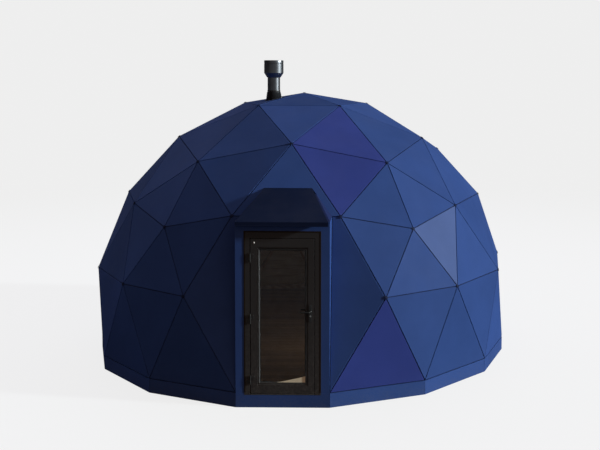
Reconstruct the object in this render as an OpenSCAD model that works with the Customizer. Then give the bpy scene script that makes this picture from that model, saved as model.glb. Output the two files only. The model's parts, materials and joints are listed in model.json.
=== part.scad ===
// Geodesic dome house: a three-frequency icosahedral dome of triangular panels on
// a frame of struts, with a glazed door in a small hooded porch at the front (-Y).
// The origin is on the ground at the middle of the dome, and +Z is up.

/* [Dome] */
// Radius of the sphere on which the outer corners of the panels lie
dome_r = 3150; // [3060:10:3500]
// Arc from a main corner of the icosahedron to the next hub, in degrees
hub_arc = 18.78; // [18.4:0.02:19.2]
// How far the lowest ring of hubs lies below the middle of the sphere
base_drop = 573; // [556:1:590]
// Thickness of the insulated panels
panel_t = 60; // [45:1:75]
// Width of the open seam between two panels
seam = 10; // [8:1:14]
// Bevel along the outer edges of the panels
bevel = 5; // [2:0.5:7]

/* [Frame] */
// Width of a strut
strut_w = 45; // [36:1:50]
// Depth of a strut
strut_d = 70; // [50:1:90]
// Radius of the hubs that the struts meet at
hub_r = 52; // [50:1:60]
// Radius of the bolt heads over the hubs
bolt_head_r = 25; // [18:1:30]
// Radius of the bolt shanks
bolt_r = 6; // [4:0.5:6.5]
// Height of the shoes under the lowest struts
shoe_h = 110; // [90:1:130]
// Width of the shoes
shoe_w = 100; // [80:1:110]
// Height of the sole plates between the shoes
sole_h = 60; // [45:1:80]

/* [Floor] */
// Height of the riser band from the ground to the lowest panels
riser_h = 190; // [170:1:240]
// Thickness of the riser boards
riser_t = 40; // [30:1:60]
// Thickness of the floor deck
deck_t = 40; // [28:1:50]
// Width of a floor joist
joist_w = 60; // [45:1:90]
// Distance between floor joists
joist_gap = 600; // [450:10:650]

/* [Porch] */
// Thickness of the porch walls beside and over the door
wall_t = 60; // [50:1:70]
// Width of the porch wall on each side of the door frame
wall_strip = 113.6; // [100:0.1:130]
// Height of the porch wall over the door frame
wall_head = 124; // [90:1:160]
// Thickness of the triangular side cheeks
cheek_t = 40; // [30:1:50]
// Thickness of the hood
hood_t = 45; // [35:1:55]
// How far the hood stands out past the wall
hood_eave = 100; // [60:5:140]
// Half the width of the hood at its top
hood_top_w = 315; // [280:5:350]
// Half the width of the hood at its eave
hood_eave_w = 580; // [560:5:590]
// Length of the cut up the panel over the door, where the hood meets it
hood_rise = 428; // [400:2:450]

/* [Door] */
// Width of the door leaf
leaf_w = 803; // [760:1:815]
// Height of the door leaf
leaf_h = 1978; // [1900:1:2000]
// Thickness of the door leaf
leaf_t = 56; // [48:1:60]
// Running gap round the leaf
door_gap = 8; // [7:0.5:10]
// Width of the face of the door frame's sides
frame_face = 74; // [60:1:78]
// Height of the face of the door frame's head
frame_head = 87; // [70:1:95]
// How far the frame stands out from the wall
frame_proud = 2; // [1:1:9]
// Height of the threshold bar under the leaf
threshold_h = 8; // [6:1:12]
// How far the stop laps over the leaf
stop_lap = 18; // [14:1:22]
// Drop of the threshold below the top of the riser
threshold_drop = 26; // [22:1:32]
// Width of the upright stiles of the leaf
stile_w = 100; // [90:1:110]
// Height of the top and bottom rails of the leaf
rail_h = 129; // [110:1:140]
// Thickness of the glass unit
glass_t = 24; // [18:1:28]
// Width and depth of the sloping glazing beads
bead = 14; // [10:1:15]

/* [Door fittings] */
// Height of the lever above the bottom of the leaf
lever_z = 1055; // [950:5:1100]
// Length of the lever
lever_len = 125; // [100:1:140]
// Radius of the lever's neck
neck_r = 10; // [8:0.5:11]
// Width of the handle plates
plate_w = 40; // [34:1:44]
// Height of the handle plates
plate_h = 220; // [180:1:250]
// Thickness of the handle plates
plate_t = 8; // [5:0.5:10]
// Height of one hinge
hinge_h = 100; // [80:1:120]
// Height of the lowest hinge over the bottom edge of the leaf
hinge_foot = 125; // [100:5:150]
// Distance of the highest hinge from the top edge of the leaf
hinge_head = 190; // [165:5:215]
// Radius of the hinge knuckle
knuckle_r = 8; // [7:0.5:10]
// Radius of the hinge pin
pin_r = 4.5; // [3.5:0.5:5]
// Length of a hinge plate from the pin
hinge_plate = 50; // [40:1:60]
// Thickness of a hinge plate
hinge_t = 4; // [3:0.5:5]

/* [Flue] */
// Distance of the flue to the left of the dome's axis
flue_x = 450; // [410:5:490]
// Distance of the flue in front of the dome's axis
flue_y = 170; // [140:5:200]
// Outer radius of the flue pipe
flue_r = 95; // [80:1:105]
// Wall of the flue pipe
flue_wall = 12; // [6:1:20]
// Height of the top of the flue above the apex of the dome
flue_top = 495; // [450:5:600]
// Height of the thick terminal at the top of the flue
cowl_h = 196; // [180:2:240]
// Radius of the terminal
cowl_r = 147; // [130:1:160]
// Height of the taper below the terminal
cowl_taper = 66; // [50:1:80]
// Height of the boot round the pipe where it leaves the roof
boot_h = 100; // [90:1:140]
// Radius of the boot's foot
boot_r = 145; // [135:1:170]

/* [Hidden] */
$fn = 64;

// clearances
seat = 0.3;      // between pieces that rest on each other
run = 0.05;      // between a pin and its bore

// colours
PANEL = [0.17, 0.22, 0.42];
HOOD = [0.09, 0.11, 0.2];
TIMBER = [0.72, 0.58, 0.42];
STEEL = [0.3, 0.31, 0.33];
DARK = [0.13, 0.12, 0.12];

// ---------------------------------------------------------------- the dome's points
centre_z = riser_h + base_drop;      // height of the middle of the sphere

function unit(v) = v / norm(v);

// a direction from its azimuth, counted from the front towards +X, and polar angle
function dir(az, polar) = [sin(az) * sin(polar), -cos(az) * sin(polar), cos(polar)];

// the point at a given arc from direction a towards direction b
function along(a, b, arc) =
    let (t = unit(b - (a * b) * a))
    a * cos(arc) + t * sin(arc);

ico = atan(2);                       // arc of an icosahedron's edge
apex = dir(0, 0);
function upper(k) = dir(36 + 72 * k, ico);
function lower(k) = dir(72 * k, 180 - ico);

// a point on the sphere moved along its own azimuth to the base ring's height
function lowered(p) =
    let (flat = unit([p[0], p[1], 0]))
    flat * sqrt(dome_r * dome_r - base_drop * base_drop) - [0, 0, base_drop];

// the hub in the middle of the front hexagon lies in the hexagon's own plane
front_hex = dome_r * along(upper(0), lower(0), hub_arc);
function ring4_middle(k) =
    k == 0 ? [0, front_hex[1], front_hex[2]]
           : dome_r * unit(upper(k - 1) + upper(k) + lower(k));

ring0 = [dome_r * apex];
ring1 = [for (k = [0:4]) dome_r * along(apex, upper(k), hub_arc)];
ring2 = [for (k = [0:4]) each [dome_r * unit(apex + upper(k - 1) + upper(k)),
                               dome_r * along(upper(k), apex, hub_arc)]];
ring3 = [for (k = [0:4]) each [dome_r * along(upper(k - 1), upper(k), hub_arc),
                               dome_r * along(upper(k), upper(k - 1), hub_arc),
                               dome_r * upper(k)]];
ring4 = [for (k = [0:4]) each [ring4_middle(k),
                               dome_r * along(upper(k), lower(k), hub_arc),
                               dome_r * along(upper(k), lower(k + 1), hub_arc)]];
ring5 = [for (k = [0:4]) each [lowered(along(lower(k), upper(k - 1), hub_arc)),
                               lowered(along(lower(k), upper(k), hub_arc)),
                               lowered(upper(k) + lower(k) + lower(k + 1))]];
hubs = concat(ring0, ring1, ring2, ring3, ring4, ring5);

// index of hub i of a ring in the list of all hubs
first = [0, 1, 6, 16, 31, 46];
count = [1, 5, 10, 15, 15, 15];
function at(ring, i) = first[ring] + (i + count[ring]) % count[ring];

// triangles between the rings, each counter-clockwise as seen from outside
cap_faces = [for (k = [0:4]) [at(0, 0), at(1, k), at(1, k + 1)]];
crown_faces = [for (k = [0:4]) each [
    [at(1, k), at(2, 2 * k), at(2, 2 * k + 1)],
    [at(1, k), at(2, 2 * k + 1), at(2, 2 * k + 2)],
    [at(1, k), at(2, 2 * k + 2), at(1, k + 1)]]];
shoulder_faces = [for (k = [0:4]) each [
    [at(2, 2 * k), at(3, 3 * k), at(3, 3 * k + 1)],
    [at(2, 2 * k + 1), at(3, 3 * k + 1), at(3, 3 * k + 2)],
    [at(2, 2 * k + 1), at(3, 3 * k + 2), at(3, 3 * k + 3)],
    [at(2, 2 * k), at(3, 3 * k + 1), at(2, 2 * k + 1)],
    [at(2, 2 * k + 1), at(3, 3 * k + 3), at(2, 2 * k + 2)]]];
waist_faces = [for (j = [0:14]) each [
    [at(3, j), at(4, j - 1), at(4, j)],
    [at(3, j), at(4, j), at(3, j + 1)]]];
skirt_faces = [for (j = [0:14]) each [
    [at(4, j), at(5, j), at(5, j + 1)],
    [at(4, j), at(5, j + 1), at(4, j + 1)]]];
faces = concat(cap_faces, crown_faces, shoulder_faces, waist_faces, skirt_faces);

// the hub left out at the porch, the panel over the door and the flue's panel
porch_hub = at(4, 0);
door_face = shoulder_faces[0];
flue_face = cap_faces[3];

function corners(face) = [for (i = face) hubs[i]];
function normal(p) = unit(cross(p[1] - p[0], p[2] - p[0]));
function has(face, i) = len([for (j = face) if (j == i) 1]) > 0;
function middle(face) = (hubs[face[0]] + hubs[face[1]] + hubs[face[2]]) / 3;
normals = [for (f = faces) normal(corners(f))];

// ---------------------------------------------------------------- panels
// outline p moved inwards by s in its own plane, which has the normal n
function inset(p, n, s) = [for (i = [0:len(p) - 1])
    let (before = unit(p[i] - p[(i + len(p) - 1) % len(p)]),
         after = unit(p[(i + 1) % len(p)] - p[i]),
         a = cross(n, before),
         b = cross(n, after))
    p[i] + s * (a + b) / (1 + a * b)];

// a flat panel with the outer outline p: its sides point to the middle of the sphere
module panel(p, t = panel_t) {
    n = normal(p);
    d = n * p[0];
    c = len(p);
    top = inset(p, n, seam / 2 + bevel);
    edge = inset(p, n, seam / 2) * (1 - bevel / d);
    back = inset(p, n, seam / 2) * (1 - t / d);
    polyhedron(
        concat(top, edge, back),
        concat([[for (i = [c - 1:-1:0]) i]],
               [for (level = [0, c]) for (i = [0:c - 1])
                   [level + i, level + (i + 1) % c, level + c + (i + 1) % c, level + c + i]],
               [[for (i = [0:c - 1]) 2 * c + i]]));
}

// every panel of a band of faces, on the sides where side * x of its middle is positive
module panels(band, side = 0) {
    for (f = band)
        if (!has(f, porch_hub) && f != door_face && f != flue_face
            && (side == 0 || side * (middle(f)[0] + 1) > 0))
            raised() color(PANEL) panel(corners(f));
}

// from the middle of the sphere to the ground's frame
module raised() {
    translate([0, 0, centre_z]) children();
}

// ---------------------------------------------------------------- struts and hubs
// unit normals of the faces that share the edge from hub i to hub j
function edge_normals(i, j) = [for (f = [0:len(faces) - 1])
    if (has(faces[f], i) && has(faces[f], j)) normals[f]];

function total(v, i = 0) = i == len(v) - 1 ? v[i] : v[i] + total(v, i + 1);

// a bar along the line p to q on the outer surface, set back by depth along n, with
// its ends cut square to the hubs' axes at the distances gap_p and gap_q from them
module bar(p, q, n, depth, gap_p, gap_q, axis_p, axis_q, w = strut_w, d = strut_d) {
    e = unit(q - p);
    side = cross(n, e) * w / 2;
    function end(o, away, axis, gap, b) =
        let (dip = -(away * axis))
        o + away * (gap + b * dip) / sqrt(1 - dip * dip) - n * b;
    points = [for (b = [depth, depth + d]) each [
        end(p, e, axis_p, gap_p, b) - side,
        end(p, e, axis_p, gap_p, b) + side,
        end(q, -e, axis_q, gap_q, b) + side,
        end(q, -e, axis_q, gap_q, b) - side]];
    polyhedron(points, [[0, 1, 2, 3], [7, 6, 5, 4], [0, 4, 5, 1], [1, 5, 6, 2],
                        [2, 6, 7, 3], [3, 7, 4, 0]]);
}

// the lowest struts end above the shoes, at this steepest slope from upright
foot_lean = 31;
foot_gap = (shoe_h + seat + strut_w / 2 * sin(foot_lean)) / cos(foot_lean);

// the struts round the flat front hexagon are turned to it and stop shorter
turned_gap = 24;

// the strut behind the seam from hub i to hub j
module strut(i, j) {
    near = edge_normals(i, j);
    turned = len([for (f = faces) if (has(f, i) && has(f, j) && has(f, porch_hub)) 1]);
    gap = hub_r + seat + turned * turned_gap;
    n = unit(total(near));
    tilt = acos(n * near[0]);
    depth = (panel_t + strut_w / 2 * sin(tilt) + seat) / cos(tilt);
    raised() color(TIMBER)
        bar(hubs[i], hubs[j], n, depth,
            gap, j < first[5] ? gap : foot_gap,
            unit(hubs[i]), unit(hubs[j]));
}

// the struts round one ring of hubs
module ring_struts(ring) {
    for (k = [0:count[ring] - 1]) {
        i = at(ring, k);
        j = at(ring, k + 1);
        if (i != porch_hub && j != porch_hub)
            strut(i, j);
    }
}

// the struts that run down from ring a to ring b
module falling_struts(a, b) {
    for (f = faces)
        for (k = [0:2]) {
            i = f[k];
            j = f[(k + 1) % 3];
            if (i != porch_hub && j != porch_hub
                && i >= first[a] && i < first[a] + count[a]
                && j >= first[b] && j < first[b] + count[b])
                strut(i, j);
        }
}

// distance of a hub's outer face from the middle of the sphere, behind its panels
function hub_top(i) = min([for (f = [0:len(faces) - 1]) if (has(faces[f], i))
    let (c = normals[f] * unit(hubs[i]))
    (normals[f] * hubs[i] - panel_t - seat - hub_r * sqrt(1 - c * c)) / c]);

// stands a child with its +Z along direction v
module aim(v) {
    rotate([0, acos(v[2] / norm(v)), atan2(v[1], v[0])]) children();
}

hub_sink = 8;        // how much deeper the hubs are than the struts
head_sink = 1;       // how far the bolt heads sit below the corner of the sphere
head_t = 6;          // thickness of the bolt heads

module frame_hubs() {
    for (i = [0:first[5] - 1])
        if (i != porch_hub)
            raised() color(STEEL) aim(hubs[i])
                translate([0, 0, hub_top(i) - strut_d - hub_sink])
                    cylinder(h = strut_d + hub_sink, r = hub_r, $fn = 32);
}

module hub_bolts() {
    for (i = [0:first[5] - 1])
        if (i != porch_hub)
            raised() color(DARK) aim(hubs[i])
                rotate_extrude($fn = 24)
                    polygon([[0, hub_top(i)], [bolt_r, hub_top(i)],
                             [bolt_r, dome_r - head_sink],
                             [bolt_head_r, dome_r - head_sink],
                             [bolt_head_r, dome_r - head_sink + head_t / 2],
                             [bolt_head_r - head_t / 2, dome_r - head_sink + head_t],
                             [0, dome_r - head_sink + head_t]]);
}

module crown_struts() {
    falling_struts(0, 1);
    ring_struts(1);
    falling_struts(1, 2);
}
module shoulder_struts() {
    ring_struts(2);
    falling_struts(2, 3);
}
module waist_struts() {
    ring_struts(3);
    falling_struts(3, 4);
}
module skirt_struts() {
    ring_struts(4);
    falling_struts(4, 5);
}

// ---------------------------------------------------------------- base and floor
function flat(p) = [p[0], p[1], 0];

// distance from the axis to the side of the base ring from corner i to i + 1
function apothem(i) = norm(flat(ring5[i % 15] + ring5[(i + 1) % 15])) / 2;
function side_normal(i) = unit(flat(ring5[i % 15] + ring5[(i + 1) % 15]));
least_apothem = min([for (i = [0:14]) apothem(i)]);

// the porch takes its width and its height from the door
deck_z = riser_h;
threshold_z = riser_h - threshold_drop;
leaf_z = threshold_z + threshold_h + door_gap;
frame_top = leaf_z + leaf_h + door_gap + frame_head;
wall_top = frame_top + wall_head;
wall_z = wall_top - centre_z;        // the same height in the sphere's frame
frame_half = leaf_w / 2 + door_gap + frame_face;
porch_x = frame_half + wall_strip;
porch_y = ring5[1][1];
front_half = max(porch_x, ring5[1][0]);  // half the width of the base's front

eave_corner = ring3[1];              // hub at the top corner of the front hexagon
jamb_top = [porch_x, eave_corner[1], eave_corner[2]];
hex_normal = unit(cross(ring5[1] - eave_corner, [1, 0, 0]));
jamb_lean = acos(abs(hex_normal[1]));    // lean of the front hexagon from upright

// outline of the board along one side of the base
function board(i) =
    let (a = flat(ring5[i]), b = flat(ring5[(i + 1) % 15]), e = unit(b - a) * seam / 4,
         k = 1 - riser_t / apothem(i))
    [for (p = [a + e, b - e, (b - e) * k, (a + e) * k]) [p[0], p[1]]];

// the board along one side of the base, which ends beside the front
module riser(i) {
    color(PANEL) difference() {
        linear_extrude(riser_h - seam / 2) polygon(board(i));
        translate([-front_half - seam / 4, porch_y - 1, -1])
            cube([2 * front_half + seam / 2, sill_t, riser_h]);
    }
}
module riser_right() {
    for (i = [1:7]) riser(i);
}
module riser_left() {
    for (i = [8:14]) riser(i);
}

// the sill beam under the door and the porch walls, notched for the door frame
module riser_front() {
    color(PANEL) difference() {
        translate([-front_half + seam / 4, porch_y, 0])
            cube([2 * front_half - seam / 2, sill_t, riser_h - seam / 2]);
        translate([-frame_half - seat, porch_y - frame_proud - 1, threshold_z])
            cube([2 * (frame_half + seat), frame_d + 2, riser_h]);
    }
}
sill_t = wall_t + 22;                // thickness of the sill beam
frame_d = frame_proud + sill_t;      // depth of the door frame
deck_front = porch_y + sill_t + seat;

module floor_deck() {
    k = 1 - (riser_t + seat) / least_apothem;
    color(TIMBER) difference() {
        translate([0, 0, deck_z - deck_t]) linear_extrude(deck_t)
            polygon([for (p = ring5) k * [p[0], p[1]]]);
        translate([-front_half - seam / 2, porch_y - 1, 0])
            cube([2 * front_half + seam, deck_front - porch_y + 1, deck_z + 1]);
    }
}

joist_r = least_apothem - riser_t - 25;  // reach of the joists' corners
module floor_joists() {
    side = floor((joist_r - joist_w) / joist_gap);
    for (k = [-side:side]) {
        x = k * joist_gap;
        reach = sqrt(pow(joist_r, 2) - pow(abs(x) + joist_w / 2, 2));
        front = min(reach, -deck_front - 20);
        color(TIMBER) translate([x - joist_w / 2, -front, 0])
            cube([joist_w, front + reach, deck_z - deck_t]);
    }
}

shoe_back = 1.2;     // clear of the panels, which lean outwards as they rise

// outer face of the shoe at corner i, measured from the axis: the two at the porch
// stand back from the leaning panels beside it
function shoe_face(i) = min([for (s = [i + 14, i])
    let (c = side_normal(s) * unit(flat(ring5[i])))
    (apothem(s) - panel_t - shoe_back - shoe_w / 2 * sqrt(1 - c * c)) / c])
    - (i < 2 ? shoe_h * tan(jamb_lean) : 0);
module base_shoes() {
    for (i = [0:14])
        color(STEEL) rotate(atan2(ring5[i][1], ring5[i][0]))
            translate([shoe_face(i) - strut_d, -shoe_w / 2, deck_z])
                cube([strut_d, shoe_w, shoe_h]);
}

module sole_plates() {
    for (i = [1:14]) {
        lift = [0, 0, deck_z + sole_h / 2];
        a = flat(ring5[i]);
        b = flat(ring5[(i + 1) % 15]);
        color(TIMBER)
            bar(a + lift, b + lift, side_normal(i), panel_t + shoe_back,
                shoe_w / 2 + seat, shoe_w / 2 + seat, unit(a), unit(b), w = sole_h);
    }
}

// ---------------------------------------------------------------- porch
// mirrors its children to both sides of the porch
module both_sides() {
    children();
    mirror([1, 0, 0]) children();
}

// the panel through the three hubs beside the porch, from the middle of the front on:
// it is cut off upright at the porch and notched for the bolts at its blunt corners
side_n = normal([ring5[1], ring4[1], eave_corner]);
side_level = [1, -side_n[0] / side_n[1], 0];
module porch_side_panels() {
    both_sides() raised() color(PANEL) difference() {
        panel([eave_corner - eave_corner[0] * side_level, ring5[1] - ring5[1][0] * side_level,
               ring5[1], ring4[1], eave_corner]);
        translate([-panel_t, porch_y - panel_t, -dome_r])
            cube([porch_x + panel_t + seam / 2, dome_r, 2 * dome_r]);
        for (hub = [eave_corner, ring4[1]])
            aim(hub) cylinder(h = 2 * dome_r, r = bolt_r + seat);
    }
}

jamb_clear = 32;     // clear of the strut over the porch, which is turned to it

// the leaning member from the base shoe up to the seam over the porch
module porch_jambs() {
    both_sides() raised() color(TIMBER)
        bar(jamb_top, ring5[1], [0, -cos(jamb_lean), sin(jamb_lean)], panel_t + seat,
            strut_w / 2 + jamb_clear, foot_gap, [0, -cos(jamb_lean), sin(jamb_lean)],
            [0, -cos(jamb_lean), sin(jamb_lean)]);
}
post_w = wall_strip - cheek_t - 8;
post_d = 66;
header_h = 60;
post_top = frame_top + 4;

module porch_posts() {
    both_sides() color(TIMBER)
        translate([frame_half + 4, porch_y + wall_t + seat, deck_z + shoe_h + seat])
            cube([post_w, post_d, post_top - deck_z - shoe_h - seat]);
}
module porch_header() {
    color(TIMBER)
        translate([-frame_half - 4 - post_w, porch_y + wall_t + seat, post_top + seat])
            cube([2 * (frame_half + 4 + post_w), post_d, header_h]);
}

module front_wall_right() {
    color(PANEL) translate([frame_half + seat, porch_y, riser_h - seam / 2 + seat])
        cube([wall_strip - seat - seam / 4, wall_t, wall_top - riser_h + seam / 2 - 2 * seat]);
}
module front_wall_left() {
    mirror([1, 0, 0]) front_wall_right();
}
module front_wall_head() {
    color(PANEL) translate([-frame_half, porch_y, frame_top + seat])
        cube([2 * frame_half, wall_t, wall_top - frame_top - 2 * seat]);
}

cheek_foot = shoe_h + 5;    // height of the cheeks' lowest corner over the deck

// triangular side wall between the front wall and the leaning hexagon: its top corner
// at the back stays under the panel over the door, whose side points to the middle
module porch_cheeks() {
    lean = tan(jamb_lean);
    front = porch_y + wall_t + seat;
    back = porch_y + panel_t / cos(jamb_lean);   // at the height of the base ring
    low = -base_drop + cheek_foot;
    top = [eave_corner[1], eave_corner[2] - seat];
    inner = top * (1 - panel_t / abs(hex_normal * eave_corner));
    outer = [front, wall_z + (eave_corner[2] - wall_z) * wall_t / (eave_corner[1] - porch_y)];
    both_sides() raised() color(PANEL)
        translate([porch_x - seam / 4 - cheek_t, 0, 0])
            rotate([90, 0, 90]) linear_extrude(cheek_t)
                polygon([[front, low], [back + lean * cheek_foot, low],
                         inner, top, outer - [0, seat]]);
}

// ---------------------------------------------------------------- hood
// where the hood's top meets the panel over the door
door_n = normal(corners(door_face));
up_slope = unit([0, door_n[2], -door_n[1]]);
hood_back = eave_corner + hood_rise * up_slope;
hood_y0 = hood_back[1];
hood_z0 = hood_back[2];
eave_y = porch_y - hood_eave;
hood_pitch = hood_angle(22);
// the pitch at which the hood's underside just meets the top of the wall
function hood_angle(g, k = 0) =
    k == 8 ? g
    : hood_angle(atan((hood_z0 - wall_z - hood_t / cos(g)) / (hood_y0 - porch_y)), k + 1);
hood_drop = tan(hood_pitch);
hood_v = hood_t / cos(hood_pitch);   // the hood's thickness measured upright

// height of the hood's top at the depth y
function hood_z(y) = hood_z0 - hood_drop * (hood_y0 - y);

// half the hood's width at the depth y
function hood_w(y) = hood_top_w
    + (hood_eave_w - hood_top_w) * (hood_y0 - y) / (hood_y0 - eave_y);

// how far the hood's back edge follows the cut through the panel
back_run = hood_v * -door_n[1] / (door_n[2] - hood_drop * door_n[1]);
back_y = hood_y0 + back_run;

module hood_roof() {
    raised() color(HOOD) intersection() {
        translate([-porch_x, 0, 0]) rotate([90, 0, 90])
            linear_extrude(2 * porch_x)
                polygon([[hood_y0 - seat, hood_z(hood_y0 - seat)],
                         [eave_y, hood_z(eave_y)],
                         [eave_y, hood_z(eave_y) - hood_v],
                         [back_y - seat, hood_z(back_y - seat) - hood_v]]);
        translate([0, 0, -dome_r]) linear_extrude(3 * dome_r)
            polygon([for (s = [[1, eave_y - 10], [1, back_y + 10],
                               [-1, back_y + 10], [-1, eave_y - 10]])
                         [s[0] * hood_w(s[1]), s[1]]]);
    }
}

// how much wider than the porch the cut for the hood starts, a seam below its foot
foot_out = (porch_x - hood_top_w) * seam / hood_rise;

// the panel over the door, cut away under the hood
module over_door_panel() {
    slope = atan2(up_slope[2], up_slope[1]);
    raised() color(PANEL) difference() {
        panel(corners(door_face));
        translate([0, eave_corner[1], eave_corner[2]]) rotate([slope, 0, 0])
            translate([0, 0, -2 * panel_t]) linear_extrude(3 * panel_t)
                polygon([[-porch_x - foot_out, -seam], [porch_x + foot_out, -seam],
                         [hood_top_w, hood_rise], [-hood_top_w, hood_rise]]);
    }
}

// closes the side between the hood, the panel over the door and the porch's cheek
module hood_cheeks() {
    a = [hood_top_w, hood_y0, hood_z0];
    b = [porch_x, porch_y, wall_z];
    c = jamb_top;
    in = [-cheek_t, 0, 0];
    both_sides() raised() color(PANEL) difference() {
        polyhedron([a, b, c, a + in, b + in, c + in],
                   [[0, 2, 1], [3, 4, 5], [0, 1, 4, 3], [1, 2, 5, 4], [2, 0, 3, 5]]);
        hood_space();
    }
}
module hood_space() {
    rotate([90, 0, 90]) linear_extrude(porch_x + cheek_t)
        polygon([[back_y + 50, hood_z(back_y + 50) - hood_v - seat],
                 [eave_y - 10, hood_z(eave_y - 10) - hood_v - seat],
                 [eave_y - 10, hood_z0 + 200], [back_y + 50, hood_z0 + 200]]);
}

// ---------------------------------------------------------------- door
face_y = porch_y - frame_proud;      // outer face of the frame and the leaf
leaf_half = leaf_w / 2;

module door_frame() {
    open_half = leaf_half + door_gap;
    color(DARK) difference() {
        translate([-frame_half, face_y, threshold_z])
            cube([2 * frame_half, frame_d, frame_top - threshold_z]);
        translate([-open_half, face_y - 1, leaf_z - door_gap])
            cube([2 * open_half, leaf_t + 6, leaf_h + 2 * door_gap]);
        translate([-leaf_half + stop_lap, face_y, leaf_z + stop_lap - door_gap])
            cube([leaf_w - 2 * stop_lap, frame_d + 1, leaf_h - 2 * stop_lap + door_gap]);
    }
}

pane_half = leaf_half - stile_w;
pane_h = leaf_h - 2 * rail_h;
lever_x = leaf_half - stile_w / 2;
spindle_hole = 12;
glass_lap = 8;       // how far the glass reaches into the leaf

module door_leaf() {
    color(DARK) difference() {
        translate([-leaf_half, face_y, leaf_z]) cube([leaf_w, leaf_t, leaf_h]);
        translate([-pane_half, face_y - 1, leaf_z + rail_h])
            cube([2 * pane_half, leaf_t + 2, pane_h]);
        translate([-pane_half - glass_lap - seat, face_y + bead - seat,
                   leaf_z + rail_h - glass_lap - seat])
            cube([2 * (pane_half + glass_lap + seat), glass_t + 2 * seat,
                  pane_h + 2 * (glass_lap + seat)]);
        translate([lever_x, face_y - 1, leaf_z + lever_z]) rotate([-90, 0, 0])
            cylinder(h = leaf_t + 2, r = spindle_hole);
    }
}

module door_glass() {
    color([0.5, 0.55, 0.55, 0.4])
        translate([-pane_half - glass_lap, face_y + bead, leaf_z + rail_h - glass_lap])
            cube([2 * (pane_half + glass_lap), glass_t, pane_h + 2 * glass_lap]);
}

// a glazing bead with a sloping face round the opening of the leaf
module bead_ring() {
    difference() {
        translate([-pane_half + seat, 0, leaf_z + rail_h + seat])
            cube([2 * (pane_half - seat), bead - seat, pane_h - 2 * seat]);
        hull() {
            translate([-pane_half + 3, -1, leaf_z + rail_h + 3])
                cube([2 * (pane_half - 3), 0.5, pane_h - 6]);
            translate([-pane_half + bead + 3, bead + 1, leaf_z + rail_h + bead + 3])
                cube([2 * (pane_half - bead - 3), 0.5, pane_h - 2 * bead - 6]);
        }
    }
}

module glazing_beads() {
    color(DARK) translate([0, face_y, 0]) bead_ring();
}

// ---------------------------------------------------------------- door fittings
// both handle plates, with the bores that the lever's necks turn in
module handle_plates() {
    for (y = [face_y - plate_t, face_y + leaf_t])
        color(STEEL) difference() {
            translate([lever_x - plate_w / 2, y, leaf_z + lever_z - plate_h * 0.6])
                cube([plate_w, plate_t, plate_h]);
            translate([lever_x, y - 1, leaf_z + lever_z]) rotate([-90, 0, 0])
                cylinder(h = plate_t + 2, r = neck_r);
        }
}

neck_out = 36;       // from the plate to the middle of the lever's grip
grip_r = 9;
spindle = 8;

module lever_arm(out) {
    rotate([-90, 0, 0]) translate([0, 0, out > 0 ? 0 : -plate_t - neck_out])
        cylinder(h = plate_t + neck_out, r = neck_r - run);
    translate([0, out * (plate_t + neck_out), 0]) rotate([0, -90, 0]) {
        cylinder(h = lever_len, r = grip_r);
        sphere(r = neck_r);
        translate([0, 0, lever_len]) sphere(r = grip_r);
    }
}

module door_lever() {
    color(STEEL) translate([lever_x, 0, leaf_z + lever_z]) {
        translate([0, face_y, 0]) lever_arm(-1);
        translate([0, face_y + leaf_t, 0]) lever_arm(1);
        translate([-spindle / 2, face_y - 2, -spindle / 2])
            cube([spindle, leaf_t + 4, spindle]);
    }
}

hinge_x = -leaf_half - door_gap / 2;
hinge_y = face_y - knuckle_r - 0.5;
hinge_low = leaf_z + hinge_foot;
hinge_top = leaf_z + leaf_h - hinge_head - hinge_h;
hinge_zs = [hinge_low, (hinge_low + hinge_top) / 2, hinge_top];

// the frame's half of each hinge: a plate, the lower knuckle and the pin
module hinge_pins() {
    for (z = hinge_zs)
        color(DARK) translate([hinge_x, hinge_y, z]) {
            cylinder(h = hinge_h / 2, r = knuckle_r);
            cylinder(h = hinge_h - 6, r = pin_r);
            translate([-hinge_plate, knuckle_r + 0.5 - hinge_t, 0])
                cube([hinge_plate, hinge_t, hinge_h / 2]);
        }
}

// the leaf's half of each hinge: a plate and the upper knuckle with its bore
module hinge_knuckles() {
    for (z = hinge_zs)
        color(DARK) translate([hinge_x, hinge_y, z + hinge_h / 2 + seat]) difference() {
            union() {
                cylinder(h = hinge_h / 2, r = knuckle_r);
                translate([0, knuckle_r + 0.5 - hinge_t, 0])
                    cube([hinge_plate, hinge_t, hinge_h / 2]);
            }
            translate([0, 0, -1]) cylinder(h = hinge_h / 2 - 4, r = pin_r + run);
        }
}

// ---------------------------------------------------------------- flue
flue_n = normal(corners(flue_face));
// height of the flue panel's outer plane on the flue's axis
flue_z = (flue_n * hubs[0] + flue_n[0] * flue_x + flue_n[1] * flue_y) / flue_n[2];
flue_at = [-flue_x, -flue_y, 0];
flue_end = dome_r + flue_top;
flue_inside = 260;   // how far the pipe reaches into the room
flue_foot = flue_z - flue_inside;
flue_gap = 6;        // round the pipe where it passes the panel
cap_t = 20;          // thickness of the cowl's lid over the end of the pipe

// the round way for the pipe, wider than it by gap
module flue_bore(gap) {
    translate(flue_at + [0, 0, flue_foot])
        cylinder(h = flue_end - flue_foot, r = flue_r + gap);
}

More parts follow.
